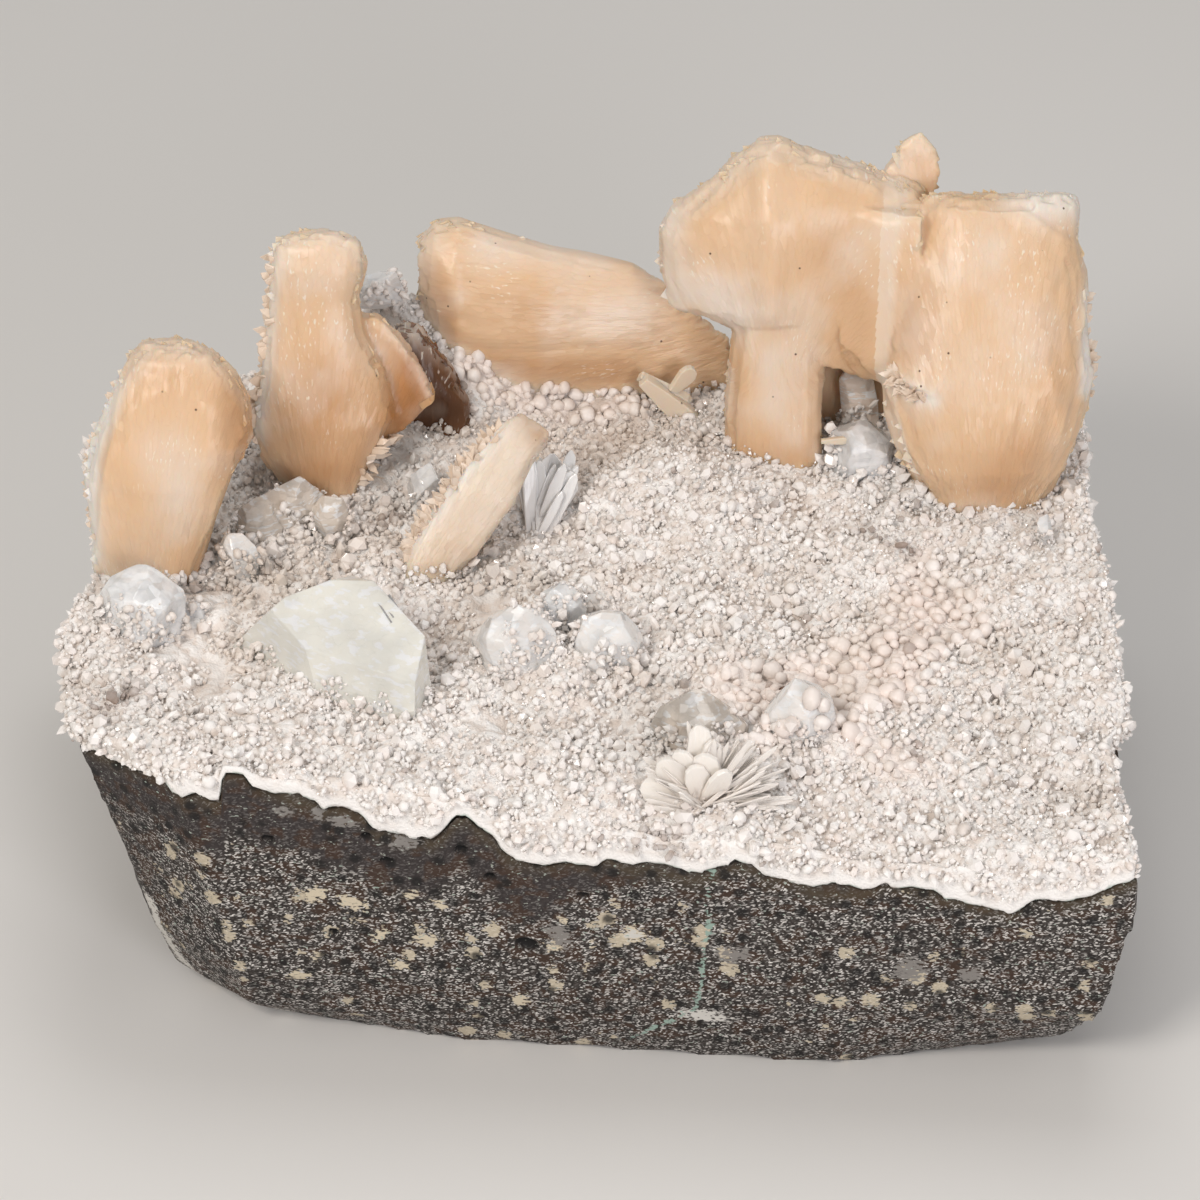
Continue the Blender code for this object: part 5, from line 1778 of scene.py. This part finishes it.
SHEAVES = (
    Sheaf("left_sheaf", "stilbite_left_sheaf", (LEFT,), fringes=(
        Fringe("left_sheaf_tips", 0, ((-11.6, 6.0), (-11.4, 15.0), (-9.6, 22.0), (-6.2, 30.5)),
               (-3.0, 4.0), 30, (0.7, 1.3), (0.5, 1.0)),
    )),
    Sheaf("tall_sheaf", "stilbite_tall_sheaf", (TALL,), fringes=(
        Fringe("tall_sheaf_flakes", 0, ((-12.4, 9.0), (-12.4, 14.0), (-10.8, 20.0), (-9.4, 30.0),
                                        (-9.4, 38.0)), (-3.0, 3.0), 70, (0.9, 2.0), (0.8, 1.8), 0.2),
        Fringe("tall_sheaf_frayed_foot", 0, ((9.4, 9.4), (6.4, 6.6), (3.6, 2.0)), (-4.0, 2.0), 34,
               (1.6, 3.4), (0.5, 1.1), lean=0.35),
    )),
    Sheaf("shadow_sheaf", "stilbite_shadow_sheaf", (SHADOW,)),
    Sheaf("reclining_sheaf", "stilbite_reclining_sheaf", (RECLINING,), tooth_height=0.2,
          tips=50),
    Sheaf("twin_sheaves", "stilbite_twin_sheaves", (CENTRE, RIGHT), cell=0.42, fringes=(
        Fringe("right_sheaf_ledge", 1, ((-15.8, 19.0), (-12.4, 17.8), (-9.0, 16.2)), (-8.0, -6.0),
               60, (1.2, 2.6), (0.5, 1.1), 0.5),
        Fringe("right_sheaf_side_bits", 1, ((16.4, 16.0), (16.2, 22.0), (16.0, 31.0)),
               (-3.0, 5.0), 40, (0.8, 1.8), (0.6, 1.3), lean=0.25),
    ), tips=150, fills=(
        Fill(0, ((8.0, 19.0, -7.5), (8.0, 40.0, -8.0), (15.0, 15.0, -11.5), (15.0, 38.0, -11.5),
                 (20.5, 12.5, -13.0), (20.5, 40.0, -12.0), (20.0, 12.5, -3.0), (20.0, 40.0, -3.0),
                 (9.4, 12.6, -3.0), (8.0, 20.0, 2.0))),
        Fill(0, ((4.0, 0.0, 8.0), (4.0, 18.0, 7.0), (19.0, 18.0, 7.0), (19.0, 0.0, 6.0),
                 (4.0, 0.0, 11.0), (4.0, 18.0, 10.0), (19.0, 18.0, 10.0), (19.0, 0.0, 11.0))),
    )),
    Sheaf("bow_tie_sheaf", "stilbite_bow_tie", (BOW,), "pale_stilbite", cell=0.34, tips=20,
          ledge_height=0.2, tip_width=(0.5, 1.0), tip_length=(0.8, 1.2), fringes=(
              Fringe("bow_tie_comb", 0, ((-5.6, 1.0), (-6.0, 10.0), (-5.9, 17.0), (-4.6, 25.0)),
                     (-4.0, 2.4), 190, (1.0, 2.4), (0.5, 1.2), lean=0.45),
          )),
)


# Blades that are set one by one


@dataclass(frozen=True)
class Spray:
    """A book of thin blades that opens like a fan."""

    lean: float
    roll: Pair      # from the first blade to the last, degrees
    turn: float
    length: float
    half_width: float
    half_thick: float
    count: int

    def blades(self, rng: Generator) -> list[tuple[float, ...]]:
        """Each blade as (lean, roll, turn, length, half width, half thickness)."""
        made = []
        for share in np.linspace(0.0, 1.0, self.count):
            made.append((
                self.lean + rng.normal(0.0, 5.0),
                self.roll[0] + (self.roll[1] - self.roll[0]) * share + rng.normal(0.0, 1.5),
                self.turn + rng.normal(0.0, 9.0),
                self.length * rng.uniform(0.82, 1.06) * (1.0 - 0.5 * (share - 0.5) ** 2),
                self.half_width * rng.uniform(0.7, 1.3),
                self.half_thick * rng.uniform(0.8, 1.3),
            ))
        return made


@dataclass
class BladeGroup:
    """Flat blades from one root: (lean, roll, turn, length, half width, half thickness)."""

    name: str
    nodes: tuple[str, ...]
    root: Triple
    blades: tuple[tuple[float, ...], ...]
    finish: str
    sprays: tuple[Spray, ...] = ()
    rim: float = 0.16
    roots: tuple[Triple, ...] = ()
    scatter: float = 0.8       # how far the sprayed blades' roots stray
    climb: float = 0.6         # how high druse has grown on it

    def build(self, finishes: dict[str, Coat]) -> Body:
        """Makes the group as one joined piece, and returns it as the druse meets it."""
        rng = np.random.default_rng(sum(map(ord, self.name)))
        whole = bmesh.new()
        fan = []
        for number, blade in enumerate(self.blades):
            root = self.roots[number] if self.roots else self.root
            fan += self.add_blade(whole, root, *blade)
        for spray in self.sprays:
            for blade in spray.blades(rng):
                root = tuple(np.asarray(self.root) + rng.normal(0.0, self.scatter, 3))
                fan += self.add_blade(whole, root, *blade)
        mesh = to_mesh(self.name, whole)
        set_attribute(mesh, "fan", np.array(fan))
        body = Body.of(mesh, 3000, self.climb)
        set_piece(self.name, mesh, finishes[self.finish], self.nodes, False)
        return body

    def add_blade(self, whole: BMesh, root: tuple, lean: float, roll: float,
                  turn: float, length: float, half_width: float,
                  half_thick: float) -> list[Triple]:
        """Adds one blade: an outline, drawn out, bevelled and curved a little.

        Args:
            whole: the mesh that takes it.
            root: where it starts.
            lean, roll, turn: its tilt in degrees.
            length, half_width, half_thick: its sizes.

        Returns:
            Fan coordinates for its points.
        """
        bm = bmesh.new()
        rows = ((-0.5, -0.12), (0.5, -0.12), (0.86, 0.35), (1.0, 0.7), (0.66, 0.93), (0.1, 1.0),
                (-0.3, 1.0), (-0.78, 0.9), (-1.0, 0.66), (-0.84, 0.35))
        verts = [bm.verts.new((x * half_width, -half_thick, z * length)) for x, z in rows]
        face = bm.faces.new(verts)
        grown = bmesh.ops.extrude_face_region(bm, geom=[face])["geom"]
        moved = [part for part in grown if isinstance(part, bmesh.types.BMVert)]
        bmesh.ops.translate(bm, vec=(0, 2 * half_thick, 0), verts=moved)
        rims = [edge for edge in bm.edges if abs(edge.verts[0].co.y - edge.verts[1].co.y) < 1e-6]
        bmesh.ops.bevel(bm, geom=rims, offset=min(self.rim, half_thick * 0.8), segments=2,
                        profile=0.5, affect="EDGES", material=-1)
        bmesh.ops.recalc_face_normals(bm, faces=bm.faces[:])
        fan = [(vert.co.x, vert.co.z, vert.co.z / length) for vert in bm.verts]
        side, growth, depth = tilt_axes(lean, roll)
        spin = Matrix.Rotation(math.radians(turn), 3, Vector(growth))
        basis = spin @ Matrix(np.column_stack((side, depth, growth)).tolist())
        for vert in bm.verts:
            bend = 0.05 * vert.co.z**2 / length
            vert.co = basis @ (vert.co + Vector((0, bend, 0))) + Vector(root)
        merge(whole, bm)
        return fan


ROSETTE = BladeGroup(
    "stilbite_rosette_blades", ("stilbite_rosette",), (14.6, -51.0, 43.6),
    (
        (18, -3, 0, 11.6, 2.0, 0.5), (12, 9, 10, 9.8, 1.7, 0.4), (0, 2, -8, 8.4, 2.3, 0.5),
        (-8, -10, 10, 7.4, 1.9, 0.4), (6, -24, -14, 9.2, 2.0, 0.45), (8, -42, -8, 9.2, 2.3, 0.5),
        (38, -74, 0, 9.2, 2.3, 0.5), (-16, 24, 12, 8.0, 1.7, 0.4),
    ),
    "cream_blades",
    (
        Spray(14, (10, 44), 16, 11.2, 0.5, 0.13, 16), Spray(28, (40, 78), 10, 12.0, 0.45, 0.13, 20),
        Spray(42, (72, 98), 4, 12.4, 0.45, 0.13, 14), Spray(2, (46, 90), 24, 10.8, 0.45, 0.13, 16),
        Spray(26, (-16, 14), -8, 10.2, 0.5, 0.15, 12), Spray(-26, (-60, -34), -20, 8.2, 0.5, 0.13, 8),
        Spray(22, (-82, -46), -8, 9.4, 0.5, 0.13, 14),
    ),
)
FAN = BladeGroup(
    "clear_fan_blades", ("clear_striated_fan",), (-9.6, 12.6, 45.0),
    ((30, -8, 0, 12.2, 2.0, 0.7), (28, 12, -4, 12.6, 2.0, 0.7), (22, 30, 0, 11.2, 1.8, 0.6)),
    "fan_blades",
    (
        Spray(28, (-14, 6), 4, 12.6, 0.9, 0.3, 11), Spray(30, (4, 24), -4, 12.6, 0.9, 0.3, 11),
        Spray(22, (20, 42), 8, 11.4, 0.8, 0.3, 10), Spray(40, (-6, 26), 0, 10.4, 0.9, 0.3, 12),
    ),
)
SMALL_BLADES = BladeGroup(
    "small_stilbite_blades", ("stilbite_small_blade",), (7.6, 39.4, 54.7),
    ((0, 136, 0, 11.0, 1.8, 1.0), (4, 40, 20, 4.6, 1.5, 0.5), (10, 88, 0, 4.2, 0.6, 0.5),
     (0, 124, 30, 8.4, 1.3, 0.7)),
    "pale_stilbite",
    roots=((7.6, 39.4, 54.7), (11.6, 40.0, 53.6), (34.4, 26.6, 52.8), (7.0, 40.6, 55.0)),
)


# Block crystals


@dataclass
class Block:
    """A crystal with flat natural faces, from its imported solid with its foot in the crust."""

    name: str
    node: str
    finish: str
    edge: float = 0.1
    sink: float = 2.6
    chips: int = 20            # small extra faces on its corners and edges
    chip: Pair = (0.15, 1.1)    # how deep they cut
    climb: float = 3.0         # how high druse has grown on it

    def build(self, crust: BVHTree, finishes: dict[str, Coat]) -> Body:
        """Makes the crystal, and returns it as the druse meets it."""
        bm = layout_copy(self.node)
        sink_foot(bm, crust, self.sink, 0.8)
        bmesh.ops.dissolve_limit(bm, angle_limit=math.radians(2.0), verts=bm.verts[:],
                                 edges=bm.edges[:])
        self.cut_chips(bm)
        sharp = [edge for edge in bm.edges
                 if len(edge.link_faces) == 2 and edge.calc_face_angle(0.0) > math.radians(14)
                 and min(vert.co.z for vert in edge.verts) > self.floor(bm)]
        bmesh.ops.bevel(bm, geom=sharp, offset=self.edge, segments=1, profile=0.5,
                        affect="EDGES", material=-1)
        mesh = Shape.from_bmesh(bm, outward=False).to_mesh(self.name)
        body = Body.of(mesh, 4000, self.climb)
        set_piece(self.name, mesh, finishes[self.finish], (self.node,), False)
        return body

    def cut_chips(self, bm: BMesh) -> None:
        """Cuts small faces across corners, so that the crystal is less regular."""
        rng = np.random.default_rng(sum(map(ord, self.name)))
        for _ in range(self.chips):
            corners = [vert for vert in bm.verts if vert.co.z > self.floor(bm)]
            if not corners:
                return
            corner = corners[rng.integers(len(corners))]
            facing = corner.normal + Vector(rng.normal(0.0, 0.28, 3))
            facing.normalize()
            top = max(vert.co.dot(facing) for vert in bm.verts)
            cut_off(bm, facing, top - rng.uniform(*self.chip))
            bm.normal_update()

    def floor(self, bm: BMesh) -> float:
        """Height under which the crystal is hidden in the crust."""
        return min(vert.co.z for vert in bm.verts) + self.sink * 0.8


BLOCKS = (
    Block("green_apophyllite", "apophyllite_large", "green", chips=0, climb=1.8),
    Block("left_edge_apophyllite", "apophyllite_left_edge", "clear"),
    Block("left_small_crystal", "apophyllite_left_small", "clear"),
    Block("round_clear_crystal", "apophyllite_round_clear", "clear"),
    Block("grey_apophyllite", "apophyllite_grey_block", "smoky"),
    Block("back_clear_crystal", "apophyllite_clear_back", "clear"),
    Block("small_clear_crystal", "apophyllite_small_clear", "clear"),
    Block("clear_crystal_group", "apophyllite_clear_group", "smoky"),
    Block("cream_apophyllite", "apophyllite_cream_block", "milky"),
    Block("milky_apophyllite", "apophyllite_milky_block", "milky"),
    Block("lilac_apophyllite", "apophyllite_lilac_block", "milky"),
    Block("left_white_crystal", "white_left_block", "milky"),
    Block("right_white_crystal", "bright_white_crystal", "milky"),
    Block("white_column", "white_column_crystal", "column", chips=6),
    Block("back_ridge_crystal", "lilac_ridge_crystal", "milky", climb=6.0),
)


@dataclass
class Plates:
    """Thin dark plates sealed under a face of the green crystal, side by side."""

    start: Triple = (-32.4, -20.1, 56.4)
    corner: Triple = (-30.17, -23.95, 55.26)
    end: Triple = (-28.44, -23.23, 55.82)
    count: int = 4
    thick: float = 0.26
    deep: float = 0.9
    proud: float = 0.04

    def build(self, finishes: dict[str, Coat]) -> None:
        """Makes the plates as one piece."""
        start, corner, end = (Vector(place) for place in (self.start, self.corner, self.end))
        run, stack = corner - start, end - corner
        inward = run.cross(stack).normalized()
        if inward.z > 0.0:
            inward.negate()
        beside = stack.normalized() * self.thick
        bm = bmesh.new()
        for number in range(self.count):
            first = start + stack * (number / (self.count - 1)) - inward * self.proud
            last = first + run * (1.0 - 0.14 * number)
            foot = inward * self.deep
            low = [bm.verts.new(place) for place in (first, last, last + foot, first + foot)]
            sides = bm.faces.new(low)
            grown = bmesh.ops.extrude_face_region(bm, geom=[sides])["geom"]
            moved = [part for part in grown if isinstance(part, bmesh.types.BMVert)]
            bmesh.ops.translate(bm, vec=beside, verts=moved)
        plates = Shape.from_bmesh(bm).to_mesh("plates")
        set_piece("sealed_plates", plates, finishes["inclusion"], smooth=False)


def make_finishes() -> dict[str, Coat]:
    """All the materials, by the names that the pieces use."""
    clear, pale, milky, green = "clear_crystal", "pale_stilbite", "milky_crystal", "green_apophyllite"
    finishes = {
        "basalt": Basalt("basalt_sawn", "basalt", 0.82),
        "ground": CrustGround("chalcedony_crust", "druse", 0.6),
        "druse": Druse("druse_grains", "druse", 0.38),
        "sugar": Druse("druse_sugar_crystals", "druse", 0.12, 1.54, gap="#efe6df"),
        "clear_grain": Druse("druse_quartz_grains", clear, 0.07, 1.54, white="#fffaf6",
                             gap="#e6dcd4"),
        "stilbite": Stilbite("stilbite_peach", "stilbite", 0.38, shader=SOFT_GLOW),
        "pale_stilbite": Stilbite("stilbite_pale", pale, 0.4, shader=SOFT_GLOW, peach="#ecd8c2",
                                  amber="#bd9468"),
        "fringe": Druse("stilbite_blade_tips", pale, 0.3, white="#f6e6d4", pink="#efd4ba",
                        gap="#d9bfa4"),
        "cream_blades": Blades("stilbite_cream_blades", pale, 0.24, shader=WAXY),
        "fan_blades": Blades("apophyllite_clear_blades", clear, 0.14, 1.535, colour="#fdfbf9",
                             base="#f3ebe5", shader=WAXY),
        "clear": Crystal("apophyllite_clear", clear, 0.06, cloud="#f6f1ec",
                         cloud_size=3.0, shader=WAXY),
        "smoky": Crystal("apophyllite_greyish", clear, 0.06, colour="#f0e6db", tint="#e0d0c0",
                         cloud="#dccbb9", density=14.0, window=0.45, veil=0.1),
        "green": Crystal("apophyllite_pale_green", green, 0.14, colour="#f8f5ec",
                         cloud="#f2efe4", clouding=0.4, tint="#e4eedf", window=0.22, veil=0.06,
                         cloud_size=9.0, line_height=0.03, face_height=0.12, shader=WAXY),
        "milky": Crystal("apophyllite_milky", milky, 0.12, colour="#fdfaf7", cloud="#f6eee8",
                         clouding=0.6, cloud_size=3.0, window=0.12, shader=WAXY),
        "column": Crystal("quartz_milky_column", milky, 0.3, 1.54, colour="#f8eadf",
                          cloud="#f0dcca", clouding=0.5, window=0.0, line_height=0.08,
                          shader=WAXY),
        "inclusion": Plate("sealed_grey_plates", green, 0.5),
    }
    return {name: finish.build() for name, finish in finishes.items()}


# Studio


@dataclass
class Studio:
    """A pale floor, soft lights and the camera at the photograph's angle."""

    elevation: float = 36.0    # degrees above level
    distance: float = 700.0    # millimetres
    target: Triple = (0.0, 0.0, 42.0)
    lens: float = 139.95
    sensor: float = 36.0
    floor_half: float = 2.5    # metres
    floor_colour: str = "#e4e1dd"
    # Each light: name, place in metres, size in metres, power in watts, colour
    lights: tuple[tuple[str, Triple, float, float, str], ...] = (
        ("key", (-0.42, -0.55, 0.72), 0.3, 3.7, "#fffaf4"),
        ("fill", (0.32, -0.68, 0.3), 0.3, 1.9, "#fbfaff"),
        ("top", (0.05, 0.25, 0.85), 0.4, 1.5, "#ffffff"),
    )
    world: float = 0.35
    bounces: int = 5
    diffuse_bounces: int = 2

    def build(self) -> None:
        """Makes all of it."""
        self.add_camera()
        self.add_floor()
        for name, place, size, power, colour in self.lights:
            lamp = bpy.data.lights.new(name, "AREA")
            lamp.size = size
            lamp.energy = power
            lamp.color = linear(colour)[:3]
            holder = new_object(name, lamp)
            holder.location = place
            aim = Vector((0.0, 0.0, 0.045)) - Vector(place)
            holder.rotation_euler = aim.to_track_quat("-Z", "Y").to_euler()
        sky = bpy.data.worlds.new("studio")
        sky.use_nodes = True
        sky.node_tree.nodes["Background"].inputs["Color"].default_value = linear("#f4f3f2")
        sky.node_tree.nodes["Background"].inputs["Strength"].default_value = self.world
        bpy.context.scene.world = sky
        bpy.context.scene.view_settings.view_transform = "Standard"
        bpy.context.scene.cycles.max_bounces = self.bounces
        bpy.context.scene.cycles.diffuse_bounces = self.diffuse_bounces

    def add_camera(self) -> None:
        """Sets the camera."""
        up = math.radians(self.elevation)
        away = Vector((0.0, -math.cos(up), math.sin(up))) * self.distance
        eye = bpy.data.cameras.new("camera")
        eye.lens = self.lens
        eye.sensor_width = self.sensor
        eye.clip_start = 0.01
        holder = new_object("camera", eye)
        holder.location = (Vector(self.target) + away + Vector(ORIGIN)) * MM
        holder.rotation_euler = (math.radians(90.0 - self.elevation), 0.0, 0.0)
        bpy.context.scene.camera = holder

    def add_floor(self) -> None:
        """Lays the floor."""
        bm = bmesh.new()
        bmesh.ops.create_grid(bm, x_segments=1, y_segments=1, size=self.floor_half)
        floor = new_object("floor", to_mesh("floor", bm))
        paper = bpy.data.materials.new("matt_paper")
        paper.use_nodes = True
        body = paper.node_tree.nodes["Principled BSDF"]
        body.inputs["Base Color"].default_value = linear(self.floor_colour)
        body.inputs["Roughness"].default_value = 0.8
        floor.data.materials.append(paper)


def main() -> None:
    """Builds the specimen's surfaces in order, from the rock up."""
    logging.basicConfig(level=logging.INFO, format="%(message)s")
    Studio().build()
    finishes = make_finishes()
    ground = Ground()
    rock = Rock().build(ground)
    set_piece("basalt_block", rock, finishes["basalt"], ("basalt_matrix",))
    packed_crust = layout_copy("druse_crust")
    crust_tree = BVHTree.FromBMesh(packed_crust)
    packed_crust.free()
    bodies = [sheaf.build(crust_tree, finishes) for sheaf in SHEAVES]
    bodies += [group.build(finishes) for group in (ROSETTE, FAN, SMALL_BLADES)]
    bodies += [block.build(crust_tree, finishes) for block in BLOCKS]
    crust = Crust()
    base = crust.build(ground)
    crust.grow(base, ground, bodies, finishes)
    for number, strip in enumerate(in_strips(base, crust.strips)):
        set_piece(f"crust_ground_{number + 1}", strip, finishes["ground"],
                  ("druse_crust",))
    Plates().build(finishes)


if __name__ == "__main__":
    main()
